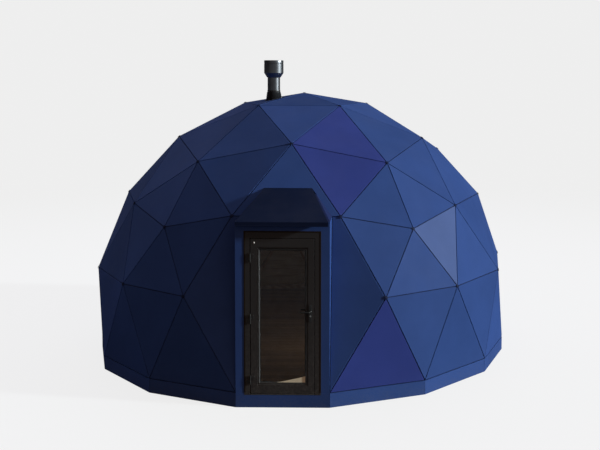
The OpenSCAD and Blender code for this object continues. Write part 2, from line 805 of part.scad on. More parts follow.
module flue_panel() {
    raised() color(PANEL) difference() {
        panel(corners(flue_face));
        flue_bore(flue_gap);
    }
}
module flue_boot() {
    raised() color(DARK) difference() {
        translate(flue_at + [0, 0, flue_z]) aim(flue_n) translate([0, 0, seat]) {
            cylinder(h = 5, r = boot_r);
            cylinder(h = boot_h, r1 = boot_r - 25, r2 = flue_r + 12);
        }
        flue_bore(seat);
    }
}
module flue_pipe() {
    raised() color(DARK) translate(flue_at) rotate_extrude()
        polygon([[flue_r - flue_wall, flue_foot], [flue_r, flue_foot],
                 [flue_r, flue_end - cap_t], [flue_r - flue_wall, flue_end - cap_t]]);
}
module flue_cowl() {
    low = flue_end - cowl_h - cowl_taper;
    raised() color(DARK) translate(flue_at) rotate_extrude()
        polygon([[flue_r + seat, low], [flue_r + 9, low],
                 [cowl_r, low + cowl_taper], [cowl_r, flue_end - 6],
                 [cowl_r - 6, flue_end], [flue_r - flue_wall, flue_end],
                 [flue_r - flue_wall, flue_end - cap_t + seat],
                 [flue_r + seat, flue_end - cap_t + seat]]);
}

// ---------------------------------------------------------------- panels by band
module cap_panels() {
    panels(cap_faces);
}
module crown_panels() {
    panels(crown_faces);
}
module shoulder_panels_right() {
    panels(shoulder_faces, 1);
}
module shoulder_panels_left() {
    panels(shoulder_faces, -1);
}
module waist_panels_right() {
    panels(waist_faces, 1);
}
module waist_panels_left() {
    panels(waist_faces, -1);
}
module skirt_panels_right() {
    panels(skirt_faces, 1);
}
module skirt_panels_left() {
    panels(skirt_faces, -1);
}

floor_joists();
floor_deck();
riser_front();
riser_right();
riser_left();
sole_plates();
base_shoes();
frame_hubs();
crown_struts();
shoulder_struts();
waist_struts();
skirt_struts();
hub_bolts();
cap_panels();
flue_panel();
crown_panels();
shoulder_panels_right();
shoulder_panels_left();
waist_panels_right();
waist_panels_left();
skirt_panels_right();
skirt_panels_left();
over_door_panel();
porch_posts();
porch_jambs();
porch_header();
porch_side_panels();
porch_cheeks();
hood_roof();
hood_cheeks();
front_wall_left();
front_wall_right();
front_wall_head();
door_frame();
door_leaf();
door_glass();
glazing_beads();
handle_plates();
door_lever();
hinge_pins();
hinge_knuckles();
flue_boot();
flue_pipe();
flue_cowl();
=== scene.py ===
import json

import bmesh
import bpy
import numpy as np
from bpy.props import FloatProperty, FloatVectorProperty, IntProperty, PointerProperty
from mathutils import Matrix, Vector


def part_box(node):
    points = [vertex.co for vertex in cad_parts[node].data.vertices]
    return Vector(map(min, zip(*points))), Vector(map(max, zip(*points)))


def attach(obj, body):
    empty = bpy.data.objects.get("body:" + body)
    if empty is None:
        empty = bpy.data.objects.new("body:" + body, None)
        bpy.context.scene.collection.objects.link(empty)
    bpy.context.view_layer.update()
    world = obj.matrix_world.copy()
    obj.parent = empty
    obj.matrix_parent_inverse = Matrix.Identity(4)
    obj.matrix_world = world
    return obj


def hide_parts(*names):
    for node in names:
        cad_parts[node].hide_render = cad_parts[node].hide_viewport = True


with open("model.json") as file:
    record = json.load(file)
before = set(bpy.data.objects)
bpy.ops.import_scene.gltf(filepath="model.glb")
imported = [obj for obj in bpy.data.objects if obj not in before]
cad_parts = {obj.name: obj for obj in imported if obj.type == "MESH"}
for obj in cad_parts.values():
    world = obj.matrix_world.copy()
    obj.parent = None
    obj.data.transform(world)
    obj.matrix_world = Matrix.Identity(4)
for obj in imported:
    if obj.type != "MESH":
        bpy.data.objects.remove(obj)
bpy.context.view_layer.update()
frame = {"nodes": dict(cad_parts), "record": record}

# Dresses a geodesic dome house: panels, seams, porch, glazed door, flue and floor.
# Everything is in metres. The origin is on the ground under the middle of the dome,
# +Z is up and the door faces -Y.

bl_info = {
    "name": "Dome House",
    "version": (1, 0, 0),
    "blender": (4, 5, 0),
    "location": "View3D > Sidebar > Dome House",
    "description": "Builds the surfaces and finishes of a geodesic dome house",
    "category": "Object",
}

DECK_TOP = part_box("floor_deck")[1].z
ICOSAHEDRON_ARC = np.degrees(np.arctan(2.0))
OUT, UP = (0.0, -1.0, 0.0), (0.0, 0.0, 1.0)


# ------------------------------------------------------------------ sizes and colours
def length(name, description, default):
    """A length property in metres."""
    return FloatProperty(name=name, description=description, default=default,
                         min=0.0, subtype="DISTANCE", unit="LENGTH")


def number(name, description, default, **limits):
    """A plain number property."""
    return FloatProperty(name=name, description=description, default=default, **limits)


def colour(name, description, default):
    """A colour property, stored as linear values."""
    return FloatVectorProperty(name=name, description=description, default=default,
                               min=0.0, max=1.0, size=3, subtype="COLOR")


class DomeSizes(bpy.types.PropertyGroup):
    """Sizes of the panelled shell."""

    radius: length("Sphere radius", "Radius on which the panels' corners lie", 3.15)
    hub_arc: number("Hub arc", "Degrees from a main corner to the next hub", 18.78)
    base_drop: length("Base drop", "Lowest hubs below the middle of the sphere", 0.573)
    panel: length("Panel thickness", "Thickness of a panel", 0.06)
    seam: length("Seam", "Open width between two panels", 0.010)
    fold: length("Fold radius", "Radius of the folded edge of a panel's skin", 0.005)
    gasket_depth: length("Gasket depth", "Gaskets below the panels' corners", 0.009)
    cap_radius: length("Cap radius", "Radius of the bolt caps over the hubs", 0.025)


class DoorSizes(bpy.types.PropertyGroup):
    """Sizes of the door's sections and fittings."""

    stile: length("Stile", "Width of the leaf's upright sections", 0.100)
    rail: length("Rail", "Height of the leaf's top and bottom sections", 0.129)
    gap: length("Running gap", "Gap between the leaf and the frame", 0.008)
    round: length("Section radius", "Radius on the edges of the sections", 0.002)
    pane: length("Pane thickness", "Thickness of one pane of glass", 0.005)
    spacer: length("Spacer", "Width of the spacer bar between the panes", 0.022)
    grip: length("Grip radius", "Radius of the lever's grip", 0.009)


class FlueSizes(bpy.types.PropertyGroup):
    """Sizes of the flue's outer details."""

    band: length("Band height", "Height of the locking band over the boot", 0.024)
    foot: length("Foot radius", "Radius of the flange under the boot", 0.145)
    height: length("Boot height", "Height of the boot on the flue's axis", 0.110)
    pleat: length("Pleat", "Depth of the pleats in the rubber boot", 0.004)
    pleats: IntProperty(name="Pleats", description="Number of pleats in the boot",
                        default=5, min=1, max=12)


class FloorSizes(bpy.types.PropertyGroup):
    """Sizes of the floor boards."""

    board: length("Board width", "Width of one floor board", 0.145)
    joint: length("Board joint", "Open joint between two boards", 0.004)


class Finishes(bpy.types.PropertyGroup):
    """Colours of the finishes."""

    navy: colour("Navy paint", "Colour of the panels", (0.028, 0.062, 0.205))
    # Painted shade: the panels facing 8 to 26 degrees take this violet in place of the sky's cyan
    # reflection that the other panels show.
    violet_shade: colour("Violet paint", "Colour towards which some panels vary",
                   (0.024, 0.038, 0.175))
    # Painted highlight: one panel takes this paler colour for the sun's sheen on it.
    painted_highlight: colour("Highlight paint", "Colour of the panel with the painted highlight", (0.052, 0.083, 0.205))
    hood: colour("Hood paint", "Colour of the hood", (0.005, 0.010, 0.034))
    # Painted shade: this darker navy keeps the hood's sunlit side walls dark.
    cheek: colour("Hood cheek paint", "Colour of the walls under the hood", (0.012, 0.020, 0.075))
    bronze: colour("Dark bronze", "Colour of the door's sections", (0.0275, 0.0262, 0.0270))
    bead: colour("Bead", "Colour of the glazing beads", (0.034, 0.033, 0.033))
    bronze_edge: colour("Bronze edge", "Colour of the sections' worn edges", (0.110, 0.060, 0.025))
    pine: colour("Pine", "Light colour of the frame's timber", (0.52, 0.34, 0.17))
    pine_dark: colour("Pine grain", "Dark colour of the frame's timber", (0.30, 0.16, 0.065))
    oak: colour("Oak", "Light colour of the floor", (0.42, 0.26, 0.13))
    oak_dark: colour("Oak grain", "Dark colour of the floor", (0.20, 0.105, 0.045))
    enamel: colour("Flue steel", "Colour of the flue", (0.24, 0.25, 0.27))
    rubber: colour("Rubber", "Colour of the door's seals and the boot", (0.010, 0.011, 0.013))
    gasket: colour("Gasket", "Colour of the gaskets in the seams", (0.010, 0.018, 0.060))
    dust: colour("Dust", "Colour of settled dust", (0.16, 0.15, 0.14))


class StageSettings(bpy.types.PropertyGroup):
    """Camera and light."""

    focal: number("Focal length", "Lens in millimetres", 58.27, min=10.0)
    background: number("Background", "Grey of the background", 0.857,
                       min=0.0, max=1.0)
    key: number("Key light", "Strength of the side light", 4.20, min=0.0)
    sky: number("Sky", "Strength of the light from above", 0.34, min=0.0)
    room: number("Room light", "Watts of the light indoors", 10.0, min=0.0)


# ------------------------------------------------------------------ surfaces
def unit(v):
    """Vectors along the last axis, brought to length one."""
    return v / np.linalg.norm(v, axis=-1, keepdims=True)


def dots(a, b):
    """Dot products along the last axis, kept as a column."""
    return np.sum(a * b, axis=-1, keepdims=True)


def angles(count):
    """Angles evenly round a full turn."""
    return np.linspace(0.0, 2.0 * np.pi, count, endpoint=False)


def spokes(first, second, count):
    """Directions round each pair of square vectors: cos t * first + sin t * second."""
    t = angles(count)[None, :, None]
    return np.cos(t) * first[:, None] + np.sin(t) * second[:, None]


def outward(corners):
    """Unit normals of triangles given by their corners."""
    a, b, c = np.moveaxis(corners, -2, 0)
    return unit(np.cross(b - a, c - a))


def grid_faces(rows, cols, loop_rows, loop_cols):
    """Quads between neighbours of a grid of rows by cols points, numbered row by row."""
    r, c = np.meshgrid(np.arange(rows - (not loop_rows)), np.arange(cols - (not loop_cols)),
                       indexing="ij")
    r1, c1 = (r + 1) % rows, (c + 1) % cols
    quads = [r * cols + c, r * cols + c1, r1 * cols + c1, r1 * cols + c]
    return np.stack(quads, -1).reshape(-1, 4)


def copies(faces, count, size):
    """Faces of one shape repeated for count shapes of size points each."""
    steps = np.arange(count)[:, None, None] * size
    return (faces[None] + steps).reshape(-1, faces.shape[-1])


def tubes(rows, cols, count=1):
    """Faces of closed tubes of rows by cols points: their sides, then their ends."""
    size = rows * cols
    ends = np.array([np.arange(cols), np.arange(size - cols, size)])
    return (copies(grid_faces(rows, cols, False, True), count, size).tolist()
            + copies(ends, count, size).tolist())


def crosswise(axes):
    """Two unit vectors square to each axis: up x axis, with +X in place of up where
    the axis is upright, and axis x first."""
    axes = unit(np.asarray(axes, float))
    upright = np.abs(axes[..., 2:3]) > 0.95
    first = unit(np.cross(np.where(upright, [1.0, 0.0, 0.0], UP), axes))
    return first, np.cross(axes, first)


def turned(profile, origins, axes, segments=24, loop=False):
    """Profile points (radius, height) turned about each axis through its origin:
    origin + height * axis + radius * (cos t * first + sin t * second)."""
    profile = np.asarray(profile, float)
    origins = np.atleast_2d(np.asarray(origins, float))
    axes = unit(np.broadcast_to(np.asarray(axes, float), origins.shape))
    round_it = spokes(*crosswise(axes), segments)
    verts = (origins[:, None, None] + profile[None, :, 1, None, None] * axes[:, None, None]
             + profile[None, :, 0, None, None] * round_it[:, None])
    faces = grid_faces(len(profile), segments, loop, True)
    return verts, copies(faces, len(origins), len(profile) * segments)


def swept(path, profile, up):
    """Profile points (sideways, up) carried along an open path: each point is
    path + sideways * mitre + up * height, where the mitre halves the corner."""
    path, profile, up = (np.asarray(part, float) for part in (path, profile, up))
    steps = unit(np.diff(path, axis=0))
    a = unit(np.cross(np.concatenate([steps, steps[-1:]]), up))
    b = unit(np.cross(np.concatenate([steps[:1], steps]), up))
    mitre = (a + b) / (1.0 + dots(a, b))
    verts = path[:, None] + profile[None, :, :1] * mitre[:, None] + profile[None, :, 1:] * up
    return verts, tubes(len(path), len(profile))


def ring(outer, inner, profile):
    """Sections mitred round a rectangle in the door's plane. outer and inner are
    (x0, x1, z0, z1); a profile row is (0 from the outer or 1 from the inner edge,
    distance into the section, y)."""
    inside, off, y = np.asarray(profile, float).T
    inward = np.array([1.0, -1.0, 1.0, -1.0]) * off[:, None]
    edge = np.where(inside[:, None] > 0.5, inner - inward, outer + inward)
    corners = ((0, 2), (1, 2), (1, 3), (0, 3))
    verts = np.stack([np.stack([edge[:, a], y, edge[:, b]], -1) for a, b in corners])
    return verts, grid_faces(4, len(y), True, True)


def inset(edges, by):
    """A rectangle (x0, x1, z0, z1) drawn in by a length."""
    x0, x1, z0, z1 = edges
    return (x0 + by, x1 - by, z0 + by, z1 - by)


def joined(*shapes):
    """Several (points, faces) pairs as one."""
    verts, faces, start = [], [], 0
    for points, polygons in shapes:
        verts.append(np.asarray(points, float).reshape(-1, 3))
        faces += [[start + int(i) for i in p] for p in polygons]
        start += len(verts[-1])
    return np.concatenate(verts), faces


def points_of(node):
    """The corners of one of the frame's own nodes."""
    vertices = frame["nodes"][node].data.vertices
    points = np.zeros(len(vertices) * 3)
    vertices.foreach_get("co", points)
    return points.reshape(-1, 3)


def add_piece(name, shape, material, body, replaced=(), smooth=None, tone=None,
              lining=None):
    """A finished mesh that rides on a body, with its faces turned outwards. Its
    finishes are given by name; lining is (finish, 0 or 1 for each face)."""
    verts, faces = shape
    mesh = bpy.data.meshes.new(name)
    mesh.from_pydata(np.asarray(verts, float).reshape(-1, 3).tolist(), [],
                     [list(map(int, p)) for p in faces])
    for finish in [material] + ([lining[0]] if lining else []):
        mesh.materials.append(bpy.data.materials[finish])
    if lining:
        mesh.polygons.foreach_set("material_index", np.asarray(lining[1], np.int32))
    if tone is not None:
        layer = mesh.attributes.new("tone", "FLOAT", "POINT")
        layer.data.foreach_set("value", np.asarray(tone, np.float32))
    shell = bmesh.new()
    shell.from_mesh(mesh)
    bmesh.ops.remove_doubles(shell, verts=shell.verts, dist=1e-6)
    bmesh.ops.recalc_face_normals(shell, faces=shell.faces)
    shell.to_mesh(mesh)
    shell.free()
    mesh.polygons.foreach_set("use_smooth", [smooth is not None] * len(mesh.polygons))
    if smooth is not None:
        mesh.set_sharp_from_angle(angle=np.radians(smooth))
    mesh.update()
    piece = bpy.data.objects.new(name, mesh)
    bpy.context.scene.collection.objects.link(piece)
    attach(piece, body)
    if replaced:
        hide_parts(*replaced)


# ------------------------------------------------------------------ the dome's points
def direction(azimuth, polar):
    """Unit vectors from the azimuth, counted from the front towards +X, and the
    polar angle, both in degrees."""
    a, p = np.radians(azimuth), np.radians(np.broadcast_to(polar, np.shape(azimuth)))
    return np.stack([np.sin(a) * np.sin(p), -np.cos(a) * np.sin(p), np.cos(p)], -1)


def toward(a, b, arc):
    """The points at that arc, in degrees, from the unit vectors a towards b:
    a * cos arc + the part of b square to a, brought to length one, * sin arc."""
    aside = unit(b - dots(a, b) * a)
    return a * np.cos(np.radians(arc)) + aside * np.sin(np.radians(arc))


class Dome:
    """Hubs and triangles of the shell, numbered ring by ring from the top."""

    FIRST = np.array([0, 1, 6, 16, 31, 46])
    COUNT = np.array([1, 5, 10, 15, 15, 15])
    LEFT_OUT = 31       # the hub that the door takes the place of

    def __init__(self, sizes):
        # apex, upper and lower are the icosahedron's main corners, in five columns; the
        # other hubs lie between them, and the last ring is moved to the base's level
        self.drop = sizes.base_drop / sizes.radius
        self.middle = np.array([0.0, 0.0, DECK_TOP + sizes.base_drop])
        k, arc = np.arange(5), sizes.hub_arc
        apex = np.tile(UP, (5, 1))
        upper = direction(36.0 + 72.0 * k, ICOSAHEDRON_ARC)
        lower = direction(72.0 * k, 180.0 - ICOSAHEDRON_ARC)
        before, after = np.roll(upper, 1, 0), np.roll(lower, -1, 0)
        rings = [
            apex[:1],
            toward(apex, upper, arc),
            self.around(unit(apex + before + upper), toward(upper, apex, arc)),
            self.around(toward(before, upper, arc), toward(upper, before, arc), upper),
            self.around(unit(before + upper + lower), toward(upper, lower, arc),
                        toward(upper, after, arc)),
            self.around(self.lowered(toward(lower, before, arc)),
                        self.lowered(toward(lower, upper, arc)),
                        self.lowered(upper + lower + after)),
        ]
        self.hubs = np.concatenate(rings) * sizes.radius

    @staticmethod
    def around(*parts):
        """Parts of five points each, taken in turn round the ring."""
        return np.stack(parts, 1).reshape(-1, 3)

    def lowered(self, points):
        """Points moved along their azimuth to the lowest ring, for a unit sphere."""
        level = unit(points * [1.0, 1.0, 0.0])
        return level * np.sqrt(1.0 - self.drop ** 2) - [0.0, 0.0, self.drop]

    def at(self, level, i):
        """Number of hub i of a ring."""
        return self.FIRST[level] + np.asarray(i) % self.COUNT[level]

    def bands(self):
        """Triangles of each band, counter-clockwise as seen from outside."""
        at, k, j = self.at, np.arange(5), np.arange(15)

        def band(*rows):
            return np.stack([np.stack(row, -1) for row in rows], 1).reshape(-1, 3)

        return {
            "cap": band((at(0, k), at(1, k), at(1, k + 1))),
            "crown": band((at(1, k), at(2, 2 * k), at(2, 2 * k + 1)),
                          (at(1, k), at(2, 2 * k + 1), at(2, 2 * k + 2)),
                          (at(1, k), at(2, 2 * k + 2), at(1, k + 1))),
            "shoulder": band((at(2, 2 * k), at(3, 3 * k), at(3, 3 * k + 1)),
                             (at(2, 2 * k + 1), at(3, 3 * k + 1), at(3, 3 * k + 2)),
                             (at(2, 2 * k + 1), at(3, 3 * k + 2), at(3, 3 * k + 3)),
                             (at(2, 2 * k), at(3, 3 * k + 1), at(2, 2 * k + 1)),
                             (at(2, 2 * k + 1), at(3, 3 * k + 3), at(2, 2 * k + 2))),
            "waist": band((at(3, j), at(4, j - 1), at(4, j)), (at(3, j), at(4, j), at(3, j + 1))),
            "skirt": band((at(4, j), at(5, j), at(5, j + 1)),
                          (at(4, j), at(5, j + 1), at(4, j + 1))),
        }


def panel_plates(corners, sizes):
    """Triangular plates with folded edges. Each ring of a plate is its outline moved
    inwards by s in its plane, then drawn towards the sphere's middle by the share
    d / D, where D is the plane's distance and d the depth of that ring. The last of
    what it gives back is 1 for each back face and 0 for the others."""
    normal = outward(corners)[:, None]
    distance = dots(normal, corners[:, :1])
    in_before = np.cross(normal, unit(corners - np.roll(corners, 1, 1)))
    in_after = np.cross(normal, unit(np.roll(corners, -1, 1) - corners))
    inward = (in_before + in_after) / (1.0 + dots(in_before, in_after))
    t = np.linspace(0.0, np.pi / 2.0, 5)
    s = np.append(sizes.seam / 2 + sizes.fold * (1.0 - np.sin(t)), sizes.seam / 2)
    d = np.append(sizes.fold * (1.0 - np.cos(t)), sizes.panel)
    levels = corners[:, None] + s[None, :, None, None] * inward[:, None]
    verts = levels * (1.0 - d[None, :, None, None] / distance[:, None])
    rows, count = len(s), len(corners)
    lined = np.append(np.zeros((rows - 1) * 3 * count, int), np.tile([0, 1], count))
    return verts, tubes(rows, 3, count), lined


# ------------------------------------------------------------------ finishes
def rgba(value):
    """A colour as four numbers."""
    return (*value, 1.0)


class Web:
    """A node tree with short calls for adding and joining its nodes."""

    def __init__(self, tree):
        self.tree = tree

    def add(self, kind, feeds=None, **settings):
        """Adds a node, sets it up, feeds its inputs and gives back its outputs."""
        node = self.tree.nodes.new(kind)
        for key, value in settings.items():
            setattr(node, key, value)
        for key, value in (feeds or {}).items():
            self.feed(node.inputs[key], value)
        return node.outputs

    def feed(self, socket, value):
        """Joins an output to the socket, or sets its value."""
        if isinstance(value, bpy.types.NodeSocket):
            self.tree.links.new(value, socket)
        else:
            socket.default_value = value

    def group(self, tree, feeds):
        """Places a shared group."""
        return self.add("ShaderNodeGroup", feeds, node_tree=tree)

    def maths(self, operation, *values, clamp=False):
        """A Math node's result."""
        return self.add("ShaderNodeMath", dict(enumerate(values)), operation=operation,
                        use_clamp=clamp)[0]

    def dot(self, a, b):
        """The dot product of two vectors."""
        return self.add("ShaderNodeVectorMath", {0: a, 1: b}, operation="DOT_PRODUCT")["Value"]

    def blend(self, factor, a, b):
        """Colour a with b laid over it by the factor."""
        return self.add("ShaderNodeMix", {0: factor, 6: a, 7: b}, data_type="RGBA")[2]

    def shaded(self, shade, value):
        """A colour made lighter or darker by the value."""
        return self.add("ShaderNodeHueSaturation", {"Color": shade, "Value": value})[0]

    def span(self, value, low, high, to_low=0.0, to_high=1.0):
        """The value mapped from one span to another, smoothly and clamped."""
        return self.add("ShaderNodeMapRange", {0: value, 1: low, 2: high, 3: to_low, 4: to_high},
                        interpolation_type="SMOOTHSTEP")[0]

    def noise(self, vector, scale, detail=3.0, rough=0.5):
        """A noise texture's grey value."""
        return self.add("ShaderNodeTexNoise", {"Vector": vector, "Scale": scale,
                                               "Detail": detail, "Roughness": rough})["Fac"]

    def stretched(self, vector, scale):
        """A vector scaled along each axis."""
        return self.add("ShaderNodeMapping", {"Vector": vector, "Scale": scale})[0]

    def axis(self, vector, name):
        """A vector's X, Y or Z."""
        return self.add("ShaderNodeSeparateXYZ", {0: vector})[name]

    def place(self):
        """Object coordinates."""
        return self.add("ShaderNodeTexCoord")["Object"]

    def normal(self):
        """The surface's normal."""
        return self.add("ShaderNodeNewGeometry")["Normal"]

    def cover(self, shader, shade, rough, *bump):
        """Feeds the shader's colour and roughness, and its normal from a bump's height,
        distance and strength."""
        self.feed(shader["Base Color"], shade)
        self.feed(shader["Roughness"], rough)
        if bump:
            feeds = dict(zip(("Height", "Distance", "Strength"), bump))
            self.feed(shader["Normal"], self.add("ShaderNodeBump", feeds)[0])

    def in_view(self):
        """1 for what is seen directly or straight through glass."""
        ray = self.add("ShaderNodeLightPath")
        straight = self.maths("LESS_THAN", ray["Glossy Depth"], 0.5)
        through = self.maths("MULTIPLY", ray["Is Transmission Ray"], straight)
        return self.maths("MAXIMUM", ray["Is Camera Ray"], through)


KINDS = {"colour": "NodeSocketColor", "vector": "NodeSocketVector"}


def new_group(name, inputs, outputs):
    """An empty shader group. Each input is "colour", "vector" or the default of a
    plain value; each output is "colour" or "value"."""
    tree = bpy.data.node_groups.new(name, "ShaderNodeTree")
    for socket, given in inputs.items():
        made = tree.interface.new_socket(socket, in_out="INPUT",
                                         socket_type=KINDS.get(given, "NodeSocketFloat"))
        if given not in KINDS:
            made.default_value = given
    for socket, kind in outputs.items():
        tree.interface.new_socket(socket, in_out="OUTPUT",
                                  socket_type=KINDS.get(kind, "NodeSocketFloat"))
    web = Web(tree)
    return web, web.add("NodeGroupInput"), tree.nodes.new("NodeGroupOutput").inputs


def build_grime_group():
    """Dust that settles on what faces up, and splashes near the ground."""
    web, given, out = new_group(
        "settled dust",
        {"Colour": "colour", "Dust": "colour", "Amount": 0.3, "Splash height": 0.5},
        {"Colour": "colour", "Mask": "value"})
    place = web.place()
    cloud = web.span(web.noise(place, 1.7, 6.0, 0.62), 0.36, 0.72)
    fine = web.span(web.noise(place, 38.0, 4.0, 0.7), 0.35, 0.75)
    flat = web.span(web.axis(web.normal(), "Z"), 0.25, 1.0, 0.0, 0.7)
    height = web.maths("DIVIDE", web.axis(place, "Z"), given["Splash height"])
    splash = web.maths("MULTIPLY", web.maths("SUBTRACT", 1.0, height, clamp=True), fine)
    both = web.maths("ADD", web.maths("MULTIPLY", flat, cloud), splash, clamp=True)
    mask = web.maths("MULTIPLY", both, given["Amount"], clamp=True)
    web.feed(out["Mask"], mask)
    web.feed(out["Colour"], web.blend(mask, given["Colour"], given["Dust"]))
    return web.tree


def build_edge_group():
    """Where an edge or a corner is near: the rounded normal leaves the true one."""
    web, given, out = new_group("worn edges", {"Reach": 0.004, "Amount": 1.0},
                                {"Mask": "value"})
    soft = web.add("ShaderNodeBevel", {"Radius": given["Reach"]}, samples=4)[0]
    edge = web.span(web.dot(soft, web.normal()), 0.99, 0.75)
    broken = web.span(web.noise(web.place(), 55.0, 4.0, 0.65), 0.42, 0.68)
    web.feed(out["Mask"], web.maths("MULTIPLY", web.maths("MULTIPLY", edge, broken),
                                    given["Amount"], clamp=True))
    return web.tree


def build_skin_group():
    """Sprayed paint: a fine orange peel, slow waves in the sheet and a patchy sheen."""
    web, given, out = new_group("sprayed skin", {"Roughness": 0.4, "Patchiness": 0.1},
                                {"Roughness": "value", "Height": "value"})
    place = web.place()
    peel = web.noise(place, 420.0, 2.0, 0.5)
    waves = web.noise(place, 2.3, 2.0, 0.4)
    patches = web.maths("SUBTRACT", web.noise(place, 5.0, 5.0, 0.6), 0.5)
    web.feed(out["Roughness"], web.maths("MULTIPLY_ADD", patches, given["Patchiness"],
                                         given["Roughness"]))
    web.feed(out["Height"], web.maths("MULTIPLY_ADD", waves, 12.0, peel))
    return web.tree


def build_wood_group():
    """Wood: long streaks along the vector's first axis, growth bands and pores."""
    web, given, out = new_group(
        "wood grain", {"Vector": "vector", "Light": "colour", "Dark": "colour"},
        {"Colour": "colour", "Roughness": "value", "Height": "value"})
    long = web.stretched(given["Vector"], (0.6, 9.0, 9.0))
    bands = web.add("ShaderNodeTexWave", {
        "Vector": long, "Scale": 0.9, "Distortion": 7.0, "Detail": 4.0,
        "Detail Scale": 1.4}, bands_direction="Y")["Fac"]
    pores = web.noise(web.stretched(given["Vector"], (6.0, 220.0, 220.0)), 1.0)
    figure = web.maths("ADD", web.maths("MULTIPLY", bands, 0.65),
                       web.maths("MULTIPLY", pores, 0.45), clamp=True)
    web.feed(out["Colour"], web.blend(figure, given["Light"], given["Dark"]))
    web.feed(out["Roughness"], web.span(pores, 0.2, 0.8, 0.42, 0.62))
    web.feed(out["Height"], figure)
    return web.tree


class Palette:
    """The finishes, each with its own Principled shader."""

    def __init__(self, colours, board):
        self.colours, self.board = colours, board
        self.grime = build_grime_group()
        self.edges = build_edge_group()
        self.skin = build_skin_group()
        self.wood = build_wood_group()

    @staticmethod
    def start(name, **constants):
        """A material's tree and its Principled shader, with the plain values set."""
        material = bpy.data.materials.new(name)
        material.use_nodes = True
        shader = material.node_tree.nodes["Principled BSDF"].inputs
        for key, value in constants.items():
            shader[key.replace("_", " ")].default_value = value
        return Web(material.node_tree), shader

    def dusted(self, web, shade, amount, splash):
        """A colour under dust, and the mask of the dust."""
        return web.group(self.grime, {"Colour": shade, "Dust": rgba(self.colours.dust),
                                      "Amount": amount, "Splash height": splash})

    def paint(self, name, base, rough, dust, wear, second=None, sheen=0.07,
              splash=0.5, worn=None):
        """Sprayed paint with worn edges and dust. With a second colour, the panels vary towards it
        up to a tone of 1, which is painted shade, and take a paler colour at a tone of 2, which is
        a painted highlight."""
        web, shader = self.start(name, Specular_IOR_Level=sheen)
        shade = rgba(base)
        if second is not None:
            tone = web.add("ShaderNodeAttribute", attribute_name="tone")["Fac"]
            # tone 1 takes the second colour: painted shade
            shade = web.blend(web.span(tone, 0.0, 1.0), shade, rgba(second))
            # tone 2 takes the paler colour and the brightest value: a painted highlight
            shade = web.blend(web.span(tone, 1.0, 2.0), shade, rgba(self.colours.painted_highlight))
            shade = web.shaded(shade, web.span(tone, -1.0, 1.0, 0.86, 1.12))
        cloud = web.noise(web.place(), 1.1, 5.0, 0.6)
        shade = web.shaded(shade, web.span(cloud, 0.3, 0.7, 0.93, 1.07))
        edge = web.group(self.edges, {"Reach": 0.006, "Amount": wear})
        pale = worn or tuple(min(1.0, c * 2.6 + 0.012) for c in base)
        grime = self.dusted(web, web.blend(edge["Mask"], shade, rgba(pale)), dust, splash)
        skin = web.group(self.skin, {"Roughness": rough, "Patchiness": 0.22})
        rough = web.maths("MULTIPLY_ADD", grime["Mask"], 0.5, skin["Roughness"], clamp=True)
        web.cover(shader, grime["Colour"], rough, skin["Height"], 0.0006, 0.35)

    def timber(self, name, light, dark, board=None):
        """Wood with its grain along the first axis; with a board's width, the grain
        and the tone shift from one board to the next."""
        web, shader = self.start(name, Specular_IOR_Level=0.35)
        place = web.place()
        if board:
            row = web.maths("FLOOR", web.maths("DIVIDE", web.axis(place, "Y"), board))
            shift = web.add("ShaderNodeTexWhiteNoise", {"W": row}, noise_dimensions="1D")
            place = web.add("ShaderNodeVectorMath", {0: place, 1: shift["Color"]})[0]
        grain = web.group(self.wood, {"Vector": place, "Light": rgba(light),
                                      "Dark": rgba(dark)})
        shade = grain["Colour"]
        if board:
            shade = web.shaded(shade, web.span(shift["Value"], 0.0, 1.0, 0.8, 1.15))
        web.cover(shader, shade, grain["Roughness"], grain["Height"], 0.0008, 0.5)

    def metal(self, name, base, rough, streaks, specks=0.0, dust=0.1):
        """Bare metal with fine streaks, zinc flowers where specks is set, and dust."""
        web, shader = self.start(name, Metallic=1.0)
        place = web.place()
        fine = web.noise(web.stretched(place, (streaks, 4.0, 300.0)), 1.0, 2.0)
        flowers = web.add("ShaderNodeTexVoronoi", {"Vector": place, "Scale": 70.0})["Color"]
        grey = web.add("ShaderNodeSeparateColor", {0: flowers})[0]
        value = web.maths("MULTIPLY_ADD", grey, specks, 1.0 - specks / 2)
        grime = self.dusted(web, web.shaded(rgba(base), value), dust, 0.4)
        web.feed(shader["Metallic"], web.maths("SUBTRACT", 1.0, grime["Mask"]))
        web.cover(shader, grime["Colour"], web.span(fine, 0.2, 0.8, rough, rough + 0.18),
                  fine, 0.0002, 0.3)

    def rubber(self, name, base):
        """Matt rubber with a slight bloom."""
        web, shader = self.start(name, Specular_IOR_Level=0.12)
        bloom = web.noise(web.place(), 26.0, 5.0, 0.65)
        pale = rgba(c * 1.8 + 0.002 for c in base)
        web.cover(shader, web.blend(web.span(bloom, 0.45, 0.8), rgba(base), pale),
                  web.span(bloom, 0.2, 0.8, 0.62, 0.85), bloom, 0.0004, 0.4)

    def glass(self):
        """Tinted clear glass with a few dry water marks in its sheen."""
        web, shader = self.start("clear_glazing", Transmission_Weight=1.0, IOR=1.45,
                                 Specular_IOR_Level=0.4)
        marks = web.noise(web.place(), 9.0, 6.0, 0.7)
        tint = web.blend(web.span(marks, 0.2, 0.8), (0.80, 0.80, 0.82, 1.0),
                         (0.74, 0.74, 0.74, 1.0))
        web.cover(shader, tint, web.span(marks, 0.55, 0.85, 0.0, 0.05))
        shadow = web.add("ShaderNodeLightPath")["Is Shadow Ray"]
        web.feed(shader["Alpha"], web.maths("MULTIPLY_ADD", shadow, -0.7, 1.0))

